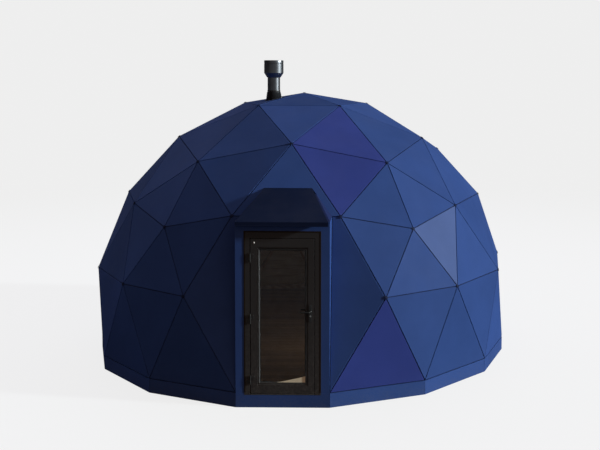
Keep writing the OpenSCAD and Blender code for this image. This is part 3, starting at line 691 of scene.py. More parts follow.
    def ply(self):
        """Birch ply on the panels' inner side: pale, with flat streaks."""
        web, shader = self.start("lining_ply", Specular_IOR_Level=0.25)
        streak = web.noise(web.stretched(web.place(), (2.0, 2.0, 26.0)), 1.0, 6.0, 0.6)
        shade = web.blend(web.span(streak, 0.3, 0.75), (0.50, 0.37, 0.22, 1.0),
                          (0.36, 0.24, 0.12, 1.0))
        web.cover(shader, shade, web.span(streak, 0.2, 0.8, 0.5, 0.7), streak, 0.0004, 0.4)

    def enamel(self):
        """Dark steel, dulled by soot in streaks and patches."""
        web, shader = self.start("flue_enamel", Metallic=1.0)
        place = web.place()
        streak = web.noise(web.stretched(place, (14.0, 14.0, 2.2)), 1.0, 5.0, 0.6)
        soot = web.span(streak, 0.4, 0.8)
        web.cover(shader, web.blend(soot, rgba(self.colours.enamel), (0.13, 0.13, 0.135, 1.0)),
                  web.span(soot, 0.0, 1.0, 0.33, 0.44), web.noise(place, 260.0, 2.0),
                  0.0003, 0.3)

    def build(self):
        """Makes every finish once. After a paint's colour come its roughness, dust
        and wear; after a metal's, its roughness, streaks, specks and dust."""
        c = self.colours
        # the panel paint carries painted shade in its violet and a painted highlight at tone 2
        self.paint("panel_paint", c.navy, 0.60, 0.05, 0.35, second=c.violet_shade, sheen=0.05)
        self.paint("base_paint", c.navy, 0.44, 0.16, 0.4, splash=0.26)
        self.paint("hood_paint", c.hood, 0.56, 0.05, 0.3)
        # painted shade on the hood's cheeks
        self.paint("shaded_cheek_paint", c.cheek, 0.5, 0.05, 0.3)
        self.paint("cap_paint", (0.008, 0.014, 0.045), 0.5, 0.05, 0.5)
        self.paint("bronze", c.bronze, 0.42, 0.30, 0.3, worn=c.bronze_edge, splash=1.5,
                   sheen=0.2)
        self.paint("bead_grey", c.bead, 0.40, 0.10, 0.3, sheen=0.4, splash=1.5)
        # a pale colour for a painted patch of sunlight behind the door's glass
        self.paint("painted_sunlight_pale", (0.60, 0.55, 0.41), 0.5, 0.06, 0.2, sheen=0.2)
        self.paint("hinge_paint", (0.016, 0.015, 0.015), 0.38, 0.05, 0.8, sheen=0.5,
                   worn=(0.10, 0.10, 0.10))
        self.paint("white_cap", (0.78, 0.78, 0.76), 0.35, 0.02, 0.0, sheen=0.5,
                   worn=(0.8, 0.8, 0.8))
        self.paint("spacer_dark", (0.030, 0.029, 0.028), 0.5, 0.02, 0.0)
        self.paint("sealant", (0.016, 0.010, 0.006), 0.6, 0.03, 0.0, sheen=0.1)
        self.timber("frame_timber", c.pine, c.pine_dark)
        self.timber("floor_oak", c.oak, c.oak_dark, self.board)
        self.metal("galvanised", (0.50, 0.51, 0.53), 0.38, 8.0, 0.35, 0.12)
        self.metal("satin_steel", (0.095, 0.093, 0.090), 0.36, 60.0)
        self.metal("aluminium", (0.62, 0.61, 0.59), 0.32, 200.0, 0.0, 0.2)
        self.rubber("rubber", c.rubber)
        self.rubber("gasket", c.gasket)
        self.glass()
        self.ply()
        self.enamel()


# ------------------------------------------------------------------ operators
class DOME_OT_finishes(bpy.types.Operator):
    """Makes the finishes and gives them to the frame's own nodes"""

    bl_idname = "dome.finishes"
    bl_label = "Finishes"

    BY_SLOT = {"panel": "panel_paint", "riser": "base_paint", "hood": "hood_paint",
               "timber": "frame_timber", "deck": "floor_oak", "hub_steel": "galvanised",
               "bolt": "cap_paint", "door_frame": "bronze", "glass": "clear_glazing",
               "fitting": "satin_steel", "hinge": "hinge_paint", "flue": "flue_enamel"}
    # the hood's cheeks take the darker navy as painted shade
    BY_NODE = {"hood_cheeks": "shaded_cheek_paint"}

    def execute(self, context):
        scene = context.scene
        Palette(scene.dome_finishes, scene.floor_sizes.board).build()
        for part in frame["record"]["subparts"]:
            finish = self.BY_NODE.get(part["node"], self.BY_SLOT[part["material_slot"]])
            mesh = frame["nodes"][part["node"]].data
            mesh.materials.clear()
            mesh.materials.append(bpy.data.materials[finish])
        return {"FINISHED"}


class DOME_OT_panels(bpy.types.Operator):
    """Builds the triangular panels with folded edges, band by band"""

    bl_idname = "dome.panels"
    bl_label = "Panels"

    WHOLE = {"cap": "cap_panels", "crown": "crown_panels"}
    OWN_NODE = {"cap": 3, "shoulder": 0}    # the flue's panel and the one over the door
    SHADED_AZIMUTHS = (8.0, 26.0)                    # azimuths of the panels that take the violet as painted shade
    HIGHLIGHT_FACING = direction(48.0, 67.0)        # where the panel with the painted highlight faces
    ALIKE = 0.99                            # cosine from which two directions are one
    MIDDLE = -0.001                         # x from which a panel is on the right

    def execute(self, context):
        sizes = context.scene.dome_sizes
        dome = Dome(sizes)
        chance = np.random.default_rng(7)
        # a tone is drawn from -1 to 0.2; 1 is violet, painted shade, which the waist never is,
        # and 2 is a painted highlight
        for band, faces in dome.bands().items():
            tones = chance.uniform(-1.0, 0.2, len(faces))
            corners = dome.hubs[faces]
            middle = corners.mean(1)
            azimuth = np.degrees(np.arctan2(middle[:, 0], -middle[:, 1]))
            if band != "waist":
                # these panels take the violet as painted shade
                tones[(azimuth > self.SHADED_AZIMUTHS[0]) & (azimuth < self.SHADED_AZIMUTHS[1])] = 1.0
            # the panel facing this way takes the paler colour as a painted highlight
            tones[outward(corners) @ self.HIGHLIGHT_FACING > self.ALIKE] = 2.0
            keep = ~np.any(faces == dome.LEFT_OUT, axis=1)
            if band in self.OWN_NODE:
                keep[self.OWN_NODE[band]] = False
            right = middle[:, 0] > self.MIDDLE
            sides = ({"": keep} if band in self.WHOLE
                     else {"_right": keep & right, "_left": keep & ~right})
            for side, chosen in sides.items():
                verts, plates, lined = panel_plates(corners[chosen], sizes)
                add_piece(f"{band}_skins{side}", (verts + dome.middle, plates),
                          "panel_paint", "house",
                          [self.WHOLE.get(band, f"{band}_panels{side}")],
                          tone=np.repeat(tones[chosen], verts.shape[1] * verts.shape[2]),
                          lining=("lining_ply", lined))
        return {"FINISHED"}


class DOME_OT_seams(bpy.types.Operator):
    """Builds the gaskets in the seams and joints, and the bolt caps over the hubs"""

    bl_idname = "dome.seams"
    bl_label = "Seams and bolt caps"

    def execute(self, context):
        sizes = context.scene.dome_sizes
        dome = Dome(sizes)
        self.gaskets(dome, sizes)
        self.caps(dome, sizes.cap_radius)
        self.riser_joints(dome, sizes.seam)
        return {"FINISHED"}

    def gaskets(self, dome, sizes):
        """Half-round strips along the seams: hub + share * edge + sideways * across
        - depth * normal, with the sideways and depth of a D-shaped profile. The edges
        over and under the door have none."""
        faces = np.concatenate(list(dome.bands().values()))
        pairs = np.concatenate([faces[:, [0, 1]], faces[:, [1, 2]], faces[:, [2, 0]]])
        pairs = np.unique(np.sort(pairs, axis=1), axis=0)
        keep = ~(pairs == dome.LEFT_OUT).any(1)
        for hub in dome.FIRST[[3, 5]]:
            keep &= ~(pairs == [hub, hub + 1]).all(1)
        a, b = dome.hubs[pairs[keep, 0]], dome.hubs[pairs[keep, 1]]
        along, normal = unit(b - a), unit(a + b)
        normal = unit(normal - dots(normal, along) * along)
        across = np.cross(normal, along)
        t = np.linspace(0.0, np.pi, 7)
        wide, leg, trim = sizes.seam / 2 * 0.97, 0.03, 0.012
        rise = wide * 0.6
        profile = np.concatenate([np.stack([wide * np.cos(t), rise * np.sin(t)], -1),
                                  [[-wide, -leg], [wide, -leg]]])
        profile[:, 1] -= sizes.gasket_depth + rise
        ends = np.stack([a + trim * along, b - trim * along], 1)
        verts = (ends[:, :, None] + profile[None, None, :, :1] * across[:, None, None]
                 + profile[None, None, :, 1:] * normal[:, None, None])
        shape = verts + dome.middle, tubes(2, len(profile), len(a))
        add_piece("seam_gaskets", shape, "gasket", "house", smooth=40)

    def caps(self, dome, r):
        """A domed cap on a washer over each hub, turned about the hub's direction."""
        hubs = np.delete(dome.hubs[:dome.FIRST[5]], dome.LEFT_OUT, axis=0)
        t = np.linspace(0.0, np.pi / 2.0, 6)
        shank, rim = 0.005, 0.96 * r
        profile = np.concatenate([
            [[0.0, -0.05], [shank, -0.05], [shank, -0.001], [rim, -0.001], [r, 0.0],
             [rim, 0.0013], [0.76 * r, 0.0015]],
            np.stack([0.74 * r * np.cos(t), 0.0015 + 0.0035 * np.sin(t)], -1)])
        profile[-1, 0] = 0.0
        add_piece("bolt_caps", turned(profile, hubs + dome.middle, unit(hubs), 20),
                  "cap_paint", "house", ["hub_bolts"], smooth=35)

    def riser_joints(self, dome, seam):
        """Upright strips that close the joints at the base's corners: the points
        corner - depth * away +- half * sideways, carried from the ground to the
        top of the boards."""
        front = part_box("riser_front")
        x, y = front[1].x + seam / 4, front[0].y
        hubs = dome.hubs[dome.FIRST[5] + 2:, :2]
        corners = np.concatenate([hubs, [[x, y], [-x, y]]])
        away = np.concatenate([unit(hubs), [OUT[:2], OUT[:2]]])
        sideways = np.stack([-away[:, 1], away[:, 0]], -1)
        half, near, deep = seam / 4 * 1.01, 0.003, 0.030
        outline = np.array([[near, -half], [near, half], [deep, half], [deep, -half]])
        flat = (corners[:, None] - outline[None, :, :1] * away[:, None]
                + outline[None, :, 1:] * sideways[:, None])
        heights = (0.001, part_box("riser_right")[1].z - 0.0005)
        verts = np.stack([np.insert(flat, 2, z, axis=-1) for z in heights], 1)
        add_piece("riser_gaskets", (verts, tubes(2, 4, len(flat))),
                  "gasket", "house")


class DOME_OT_door(bpy.types.Operator):
    """Builds the door's sections, beads, seals, glass and threshold"""

    bl_idname = "dome.door"
    bl_label = "Door"

    FREE = 0.0004       # between the glass and what holds it
    BEAD = 0.0139       # width of a glazing bead at the glass
    LIP = 0.0022        # width of the seal that shows beside the bead
    STOP = 0.004        # from the leaf's edge to the seal that it shuts against
    SEAL = 0.009        # width of that seal

    def execute(self, context):
        s = context.scene.door_sizes
        low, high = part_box("door_leaf")
        outer = (low.x, high.x, low.z, high.z)
        inner = (low.x + s.stile, high.x - s.stile, low.z + s.rail, high.z - s.rail)
        front, back, r = low.y, high.y, s.round
        groove = front + 0.0035
        add_piece("leaf_sections", ring(outer, inner, [
            (0, r, front), (0, 0, front + r), (0, 0, back - r), (0, r, back),
            (1, 0.001, back), (1, 0, back - 0.001), (1, 0, front + 0.014),
            (1, 0.016, front + 0.002), (1, 0.017, front), (1, 0.020, front),
            (1, 0.021, groove), (1, 0.024, groove), (1, 0.025, front)]),
            "bronze", "door", ["door_leaf"])
        self.glazing(s, inner, front)
        self.frame_pieces(outer, back)
        self.threshold(s, low)
        self.white_cap(front, outer)
        return {"FINISHED"}

    def glazing(self, s, inner, front):
        """Two panes with a spacer bar between them, sloping beads and dark seals."""
        glass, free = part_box("door_glass"), self.FREE
        near, far = glass[0].y, glass[1].y
        lap = inner[0] - glass[0].x - 0.0005
        panes = [rounded_pane(inset(inner, -lap), y, s.pane) for y in (near, far - s.pane)]
        add_piece("glass_panes", joined(*panes), "clear_glazing", "door",
                  ["door_glass"])
        y0, y1, r = near + s.pane + free, far - s.pane - free, 0.0012
        add_piece("glass_spacer", ring(inset(inner, -0.004), inset(inner, s.spacer), [
            (0, 0, y0), (0, 0, y1), (1, r, y1), (1, 0, y1 - r), (1, 0, y0 + r),
            (1, r, y0)]), "spacer_dark", "door")
        y, hole = near - free, inset(inner, self.BEAD)
        add_piece("bead_sections", ring(inner, hole, [
            (0, 0.0006, y), (0, 0.0006, front + 0.0015), (0, 0.002, front + 0.0004),
            (0, 0.004, front + 0.0006), (1, 0.001, y - 0.0035), (1, 0, y - 0.0022),
            (1, 0, y)]), "bead_grey", "door", ["glazing_beads"])
        add_piece("glass_seal", ring(hole, inset(hole, self.LIP), [
            (0, -0.0003, y), (0, -0.0003, y - 0.0026), (1, 0.0012, y - 0.0022),
            (1, 0.0, y)]), "rubber", "door")
        # a pale wedge: a painted patch of sunlight
        self.sunlit_patch(hole, y)

    def sunlit_patch(self, hole, y):
        """A pale tapered slip that stands on the bottom bead in front of the glass, a painted
        patch of sunlight: its height is the slope times its length times a power of the share
        along it."""
        right, foot = hole[1] - 0.001, hole[2] + 0.0005
        long, slope, thick, ease = 0.355, 0.22, 0.0045, 0.0006
        share = np.linspace(0.0, 1.0, 17)
        x, low = right - long * (1.0 - share), np.full(17, foot)
        top = foot + 0.001 + slope * long * share ** 1.15
        outline = ((y, low), (y - thick, low), (y - thick, top - ease),
                   (y - thick + ease, top), (y, top))
        rings = np.stack([np.stack([x, np.full(17, depth), height], -1)
                          for depth, height in outline], 1)
        add_piece("painted_sunlight_wedge", (rings, tubes(17, len(outline))),
                  "painted_sunlight_pale", "door")

    def frame_pieces(self, leaf, back):
        """The seal that the leaf shuts against, and the dark sealant line between the
        frame and the walls."""
        stop = inset(leaf, self.STOP)
        y0, y1, y2 = back + 0.0004, back + 0.0012, back + 0.0058
        add_piece("frame_seal", ring(stop, inset(stop, self.SEAL), [
            (0, 0, y2), (0, 0.001, y1), (0, 0.0035, y0), (1, 0.0035, y0),
            (1, 0.001, y1), (1, 0, y2)]), "rubber", "house")
        box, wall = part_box("door_frame"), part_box("front_wall_right")[0].y
        x, foot, top = box[1].x, box[0].z + 0.03, box[1].z
        path = [(x, wall, foot), (x, wall, top), (-x, wall, top), (-x, wall, foot)]
        add_piece("sealant_line", swept(path, [
            (-0.003, 0.0), (-0.003, -0.0020), (-0.001, -0.0040), (0.012, -0.0042),
            (0.015, -0.0030), (0.015, 0.0)], (0.0, 1.0, 0.0)),
            "sealant", "house")

    def threshold(self, s, leaf):
        """A ribbed aluminium plate on the threshold: the height follows a row of
        ribs across y, and the profile runs along x."""
        top, pitch = leaf.z - s.gap, 0.006
        y = np.linspace(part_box("door_frame")[0].y + 0.003, leaf.y + 0.050, 41)
        rise = 0.0011 + 0.0009 * np.clip(np.cos((y - y[0]) / pitch * 2 * np.pi), 0, 1)
        profile = np.concatenate([np.stack([y, top + rise], -1),
                                  [[y[-1], top], [y[0], top]]])
        half = leaf.x + s.gap - 0.009
        verts = np.stack([np.insert(profile, 0, x, axis=1) for x in (half, -half)])
        add_piece("threshold_plate", (verts, tubes(2, len(profile))),
                  "aluminium", "house")

    def white_cap(self, front, outer):
        """A small white plug over a fixing hole near the leaf's top hinge corner."""
        profile = [(0.0, 0.0), (0.011, 0.0), (0.0115, 0.0012), (0.0095, 0.003),
                   (0.006, 0.0041), (0.0, 0.0046)]
        spot = (outer[0] + 0.046, front + 0.0002, outer[3] - 0.050)
        add_piece("white_plug", turned(profile, spot, OUT), "white_cap", "door",
                  smooth=50)


def rounded_pane(wide, y, thick):
    """A pane of glass with ground edges: four outlines, the outer two drawn in."""
    x0, x1, z0, z1 = wide
    pull = np.array([0.001, 0.0, 0.0, 0.001])
    depth = np.array([0.0, 0.001, thick - 0.001, thick]) + y
    corners = np.stack([np.stack([x, depth, z], -1) for x, z in (
        (x0 + pull, z0 + pull), (x1 - pull, z0 + pull),
        (x1 - pull, z1 - pull), (x0 + pull, z1 - pull))], 1)
    return corners, tubes(4, 4)


def middle_of(box):
    """The middle of a box."""
    return [(a + b) / 2 for a, b in zip(*box)]


class DOME_OT_fittings(bpy.types.Operator):
    """Builds the handles, the lock, and the screws and caps of the hinges"""

    bl_idname = "dome.fittings"
    bl_label = "Door fittings"

    def execute(self, context):
        leaf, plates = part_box("door_leaf"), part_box("handle_plates")
        faces = ((leaf[0].y, -1.0), (leaf[1].y, 1.0))
        self.plates(plates, faces)
        self.lever(context.scene.door_sizes.grip, middle_of(plates)[0], faces)
        self.hinges()
        return {"FINISHED"}

    def plates(self, plates, faces):
        """Round-ended plates with a raised rim and a lock cylinder under the lever."""
        x, _, z = middle_of(plates)
        half_w = (plates[1].x - plates[0].x) / 2
        half_h = (plates[1].z - plates[0].z) / 2
        thick = faces[0][0] - plates[0].y
        t = angles(48)
        level = np.array([[0.0, 0.0], [0.0, 0.55], [0.0006, 0.85], [0.0025, 1.0],
                          [0.0060, 1.0]])
        key, slit = 0.0105, ((-1, -1), (1, -1), (1, 1), (-1, 1))
        shapes, locks = [], []
        for base, away in faces:
            r = half_w - level[:, :1]
            px = x + r * np.cos(t)
            pz = z + r * np.sin(t) + np.sign(np.sin(t)) * (half_h - half_w)
            py = np.broadcast_to(base + away * thick * level[:, 1:], px.shape)
            shapes.append((np.stack([px, py, pz], -1), tubes(len(level), len(t))))
            spot = np.array([x, base + away * (thick - 0.001), plates[0].z + 0.075])
            locks.append(turned([(0.0, 0.0), (key, 0.0), (key, 0.0022), (0.009, 0.003),
                                 (0.0, 0.003)], spot, (0.0, away, 0.0), 28))
            locks.append(([spot + [sx * 0.0011, away * 0.0033 * k, sz * 0.0045]
                           for k in (0.85, 1.02) for sx, sz in slit], tubes(2, 4)))
        add_piece("plate_covers", joined(*shapes), "satin_steel", "door",
                  ["handle_plates"], smooth=35)
        add_piece("lock_cylinders", joined(*locks), "aluminium", "door",
                  smooth=35)

    def lever(self, grip, x, faces):
        """A neck that bends into a flattened grip. The path runs straight out, turns
        on a quarter circle and goes along -x; the cross-section is an ellipse whose
        height swells midway and whose depth falls towards the rounded tip."""
        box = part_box("door_lever")
        z, bend = middle_of(box)[2], 0.016
        reach = faces[0][0] - box[0].y - grip
        turn = np.linspace(0.0, np.pi / 2, 9)
        neck = np.stack([np.zeros(4), np.linspace(-0.002, reach - bend, 4)], -1)
        arc = np.stack([-bend * (1 - np.cos(turn)), reach - bend + bend * np.sin(turn)], -1)
        hold = np.stack([np.linspace(-bend, box[0].x - x, 14), np.full(14, reach)], -1)
        line = np.concatenate([neck, arc[1:], hold[1:]])
        ahead = unit(np.gradient(line, axis=0))
        side = np.stack([-ahead[:, 1], ahead[:, 0]], -1)
        along = np.append(0.0, np.cumsum(np.linalg.norm(np.diff(line, axis=0), axis=1)))
        share = np.clip((along - along[4]) / (along[-1] - along[4]), 0.0, 1.0)
        tip = np.sqrt(np.clip(1.0 - np.clip((share - 0.93) / 0.07, 0, 1) ** 2, 0.02, 1.0))
        deep = (0.0085 - 0.0030 * share) * tip
        tall = (0.0088 + 0.0012 * np.sin(np.pi * share)) * tip
        t = angles(20)
        flat = line[:, None] + deep[:, None, None] * (np.cos(t)[None, :, None] * side[:, None])
        height = z + tall[:, None] * np.sin(t)[None]
        rose = [(0.0, -0.001), (0.0150, -0.001), (0.0150, 0.0030), (0.0138, 0.0042),
                (0.0, 0.0042)]
        arms = []
        for base, away in faces:
            verts = np.stack([x + flat[..., 0], base + away * flat[..., 1], height], -1)
            arms.append((verts, tubes(len(line), len(t))))
            arms.append(turned(rose, (x, base + away * 0.0082, z), (0.0, away, 0.0), 32))
        add_piece("lever_grips", joined(*arms), "satin_steel", "lever",
                  ["door_lever"], smooth=40)

    def hinges(self):
        """Round-headed screws on each hinge plate, and a ball finial on each end of
        the pins."""
        pins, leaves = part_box("hinge_pins"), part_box("hinge_knuckles")
        tall, pin_r = 0.094, 0.008
        zs = np.linspace(pins[0].z, pins[1].z - tall, 3)
        x, y, plate = leaves[0].x + pin_r, leaves[0].y + pin_r, pins[1].y - 0.004
        head = [(0.0, -0.001), (0.0046, -0.001), (0.0046, 0.0004), (0.0036, 0.0017),
                (0.0018, 0.0024), (0.0, 0.0026)]
        for name, body, across, up in (
                ("frame_screws", "house", (-0.022, -0.040), (0.012, 0.038)),
                ("leaf_screws", "door", (0.022, 0.040), (0.062, 0.088))):
            spots = [(x + dx, plate, z + dz) for z in zs for dx in across for dz in up]
            add_piece(name, turned(head, spots, OUT, 14), "hinge_paint", body,
                      smooth=40)
        t = np.linspace(-np.pi / 2, np.pi / 2, 9)
        ball = np.stack([0.0072 * np.cos(t), 0.006 + 0.006 * np.sin(t)], -1)
        ball[[0, -1], 0] = 0.0
        for name, body, lift, axis in (
                ("hinge_finials", "door", 0.100 + 0.0002, UP),
                ("hinge_feet", "house", 0.0001, (0.0, 0.0, -1.0))):
            add_piece(name, turned(ball, [(x, y, z + lift) for z in zs], axis, 20),
                      "hinge_paint", body, smooth=50)


class DOME_OT_flue(bpy.types.Operator):
    """Builds the flue pipe, its terminal and the pleated rubber boot"""

    bl_idname = "dome.flue"
    bl_label = "Flue"

    WALL = 0.012        # thickness of the pipe's wall
    FREE = 0.0006       # between the pipe and what goes round it
    SCREWS = 12         # round the flange

    def execute(self, context):
        s, pipe = context.scene.flue_sizes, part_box("flue_pipe")
        foot, top = pipe[0].z, pipe[1].z
        middle = np.array(middle_of(pipe)) * [1.0, 1.0, 0.0]
        r = (pipe[1].x - pipe[0].x) / 2
        bore = r - self.WALL
        add_piece("flue_tube", turned([(bore, foot), (r, foot), (r, top), (bore, top)],
                                      middle, UP, 64, loop=True),
                  "flue_enamel", "house", ["flue_pipe"], smooth=30)
        self.cowl(middle, r)
        self.band(s, middle, r)
        self.boot(s, Dome(context.scene.dome_sizes), middle, r)
        return {"FINISHED"}

    def cowl(self, middle, r):
        """The terminal: a turned shell with a rolled rim, a groove and a taper."""
        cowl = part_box("flue_cowl")
        low, high, wide = cowl[0].z, cowl[1].z, (cowl[1].x - cowl[0].x) / 2
        taper, groove, bore, curl = low + 0.066, wide - 0.0035, r - self.WALL, 0.008
        snug, step = r + self.FREE, high - 0.0195
        t = np.linspace(0.0, np.pi / 2.0, 5)
        rim = np.stack([wide - curl * (1 - np.cos(t)), high - curl + curl * np.sin(t)], -1)
        profile = np.concatenate([
            [(snug, low), (r + 0.008, low), (r + 0.0095, low + 0.002),
             (wide - 0.004, taper - 0.004), (wide, taper + 0.002), (wide, high - 0.052),
             (groove, high - 0.049), (groove, high - 0.044), (wide, high - 0.041)], rim,
            [(bore + 0.006, high), (bore, high - 0.004), (bore, step), (snug, step)]])
        add_piece("flue_terminal", turned(profile, middle, UP, 72, loop=True),
                  "flue_enamel", "house", ["flue_cowl"], smooth=32)

    def band(self, s, middle, r):
        """The band that closes the boot."""
        z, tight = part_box("flue_boot")[1].z, r + 0.0003
        top = z + s.band
        add_piece("flue_band", turned([
            (tight, z), (r + 0.003, z + 0.001), (r + 0.004, z + 0.004),
            (r + 0.004, top - 0.004), (r + 0.003, top - 0.001), (tight, top)],
            middle, UP, 64, loop=True), "hinge_paint", "house", smooth=35)

    def boot(self, s, dome, middle, r):
        """The rubber boot: circles that lean from the roof's slope at the foot to
        upright at the collar, each swollen by a sine of the height for the pleats. Its
        inner wall has the same points, drawn in to the pipe."""
        corners = dome.hubs[dome.bands()["cap"][3]] + dome.middle
        slope = outward(corners)
        rise = (slope @ corners[0] - slope[:2] @ middle[:2]) / slope[2]
        foot = middle + [0.0, 0.0, rise]
        share = np.linspace(0.0, 1.0, 41)[:, None]
        rest = 1 - share
        lean = crosswise(unit(slope * rest + np.array(UP) * share))
        centre = (foot + slope * 0.0056) * rest + share * (
            middle + [0.0, 0.0, rise + s.height])
        swell = s.pleat * np.sin(share * s.pleats * 2 * np.pi) ** 2
        radius = ((s.foot - 0.027) * rest ** 0.8 + (r + 0.006) * (1 - rest ** 0.8)
                  + swell * (1 - share * 0.6))
        outside = centre[:, None] + radius[:, None] * spokes(*lean, 72)
        inside = outside[::-1].copy()
        inside[..., :2] = middle[:2] + unit((inside - middle)[..., :2]) * (r + self.FREE)
        verts = np.concatenate([outside, inside])
        add_piece("flue_gaiter", (verts, grid_faces(len(verts), 72, True, True)),
                  "rubber", "house", ["flue_boot"], smooth=50)
        self.flange(s.foot, foot, slope, r + 0.012)

    def flange(self, edge, foot, slope, hole):
        """The plate that clamps the boot to the roof, with a ring of screws."""
        add_piece("flue_flange", turned([
            (hole, 0.0006), (edge - 0.002, 0.0006), (edge, 0.002), (edge - 0.002, 0.0042),
            (edge - 0.012, 0.0050), (hole, 0.0052)], foot, slope, 72, loop=True),
            "flue_enamel", "house", smooth=35)
        away = spokes(*crosswise(slope[None]), self.SCREWS)[0]
        spots = foot + slope * 0.0040 + (edge - 0.008) * away
        head = [(0.0, 0.0), (0.0048, 0.0), (0.0044, 0.0026), (0.002, 0.0034), (0.0, 0.0035)]
        add_piece("flange_screws", turned(head, spots, slope, 10), "galvanised", "house",
                  smooth=40)


class DOME_OT_hood(bpy.types.Operator):
    """Builds the folded metal drip edge of the hood"""

    bl_idname = "dome.hood"
    bl_label = "Hood trims"

    def execute(self, context):
        points = points_of("hood_roof")
        eave = points[points[:, 1] < points[:, 1].min() + 0.001]
        x, y = eave[:, 0].max(), eave[:, 1].min()
        foot, tall = eave[:, 2].min(), np.ptp(eave[:, 2])
        drip = [(0.0, -0.006), (0.0015, -0.0075), (0.0065, -0.0030), (0.0055, 0.0),
                (0.0032, 0.004), (0.0032, tall - 0.002), (0.0018, tall + 0.001),
                (0.0, tall + 0.001)]
        add_piece("hood_drip", swept([(-x, y, foot), (x, y, foot)], drip, UP),
                  "hood_paint", "house")
        return {"FINISHED"}


class DOME_OT_floor(bpy.types.Operator):
    """Builds the floor boards"""

    bl_idname = "dome.floor"
    bl_label = "Floor boards"

    def execute(self, context):
        s, ease, narrowest = context.scene.floor_sizes, 0.002, 0.02
        low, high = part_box("floor_deck")
        outline = np.unique(np.round(points_of("floor_deck")[:, :2], 5), axis=0)
        outline = outline[np.argsort(np.arctan2(outline[:, 1], outline[:, 0]))]
        start = np.ceil(low.y / s.board) * s.board
        edges = np.concatenate([[low.y], np.arange(start, high.y, s.board), [high.y]])
        near, far = edges[:-1] + s.joint / 2, edges[1:] - s.joint / 2
        keep = far - near > narrowest
        near, far = near[keep], far[keep]
        corners = np.stack([self.reach(outline, y, side) for y, side in (
            (near, -1), (near, 1), (far, 1), (far, -1))], 1)
        inwards = np.array([[1, 1], [-1, 1], [-1, -1], [1, -1]])
        verts = np.stack([np.insert(corners + pull * inwards, 2, z, axis=-1)
                          for pull, z in ((0.0, low.z), (0.0, high.z - ease),
                                          (ease, high.z))], 1)
        add_piece("deck_boards", (verts, tubes(3, 4, len(near))),
                  "floor_oak", "house", ["floor_deck"])
        return {"FINISHED"}

    @staticmethod
    def reach(outline, y, side):
        """Points where the lines at y leave the floor's outline on one side."""
        a, b = outline, np.roll(outline, -1, 0)
        span = b[:, 1] - a[:, 1]
        safe = np.where(np.abs(span) < 1e-9, 1e-9, span)
        share = (y[:, None] - a[None, :, 1]) / safe[None]
        x = a[None, :, 0] + share * (b[:, 0] - a[:, 0])[None]
        hit = (share >= -1e-9) & (share <= 1 + 1e-9)
        x = np.where(hit, x * side, -np.inf).max(1) * side
        return np.stack([x, y], -1)


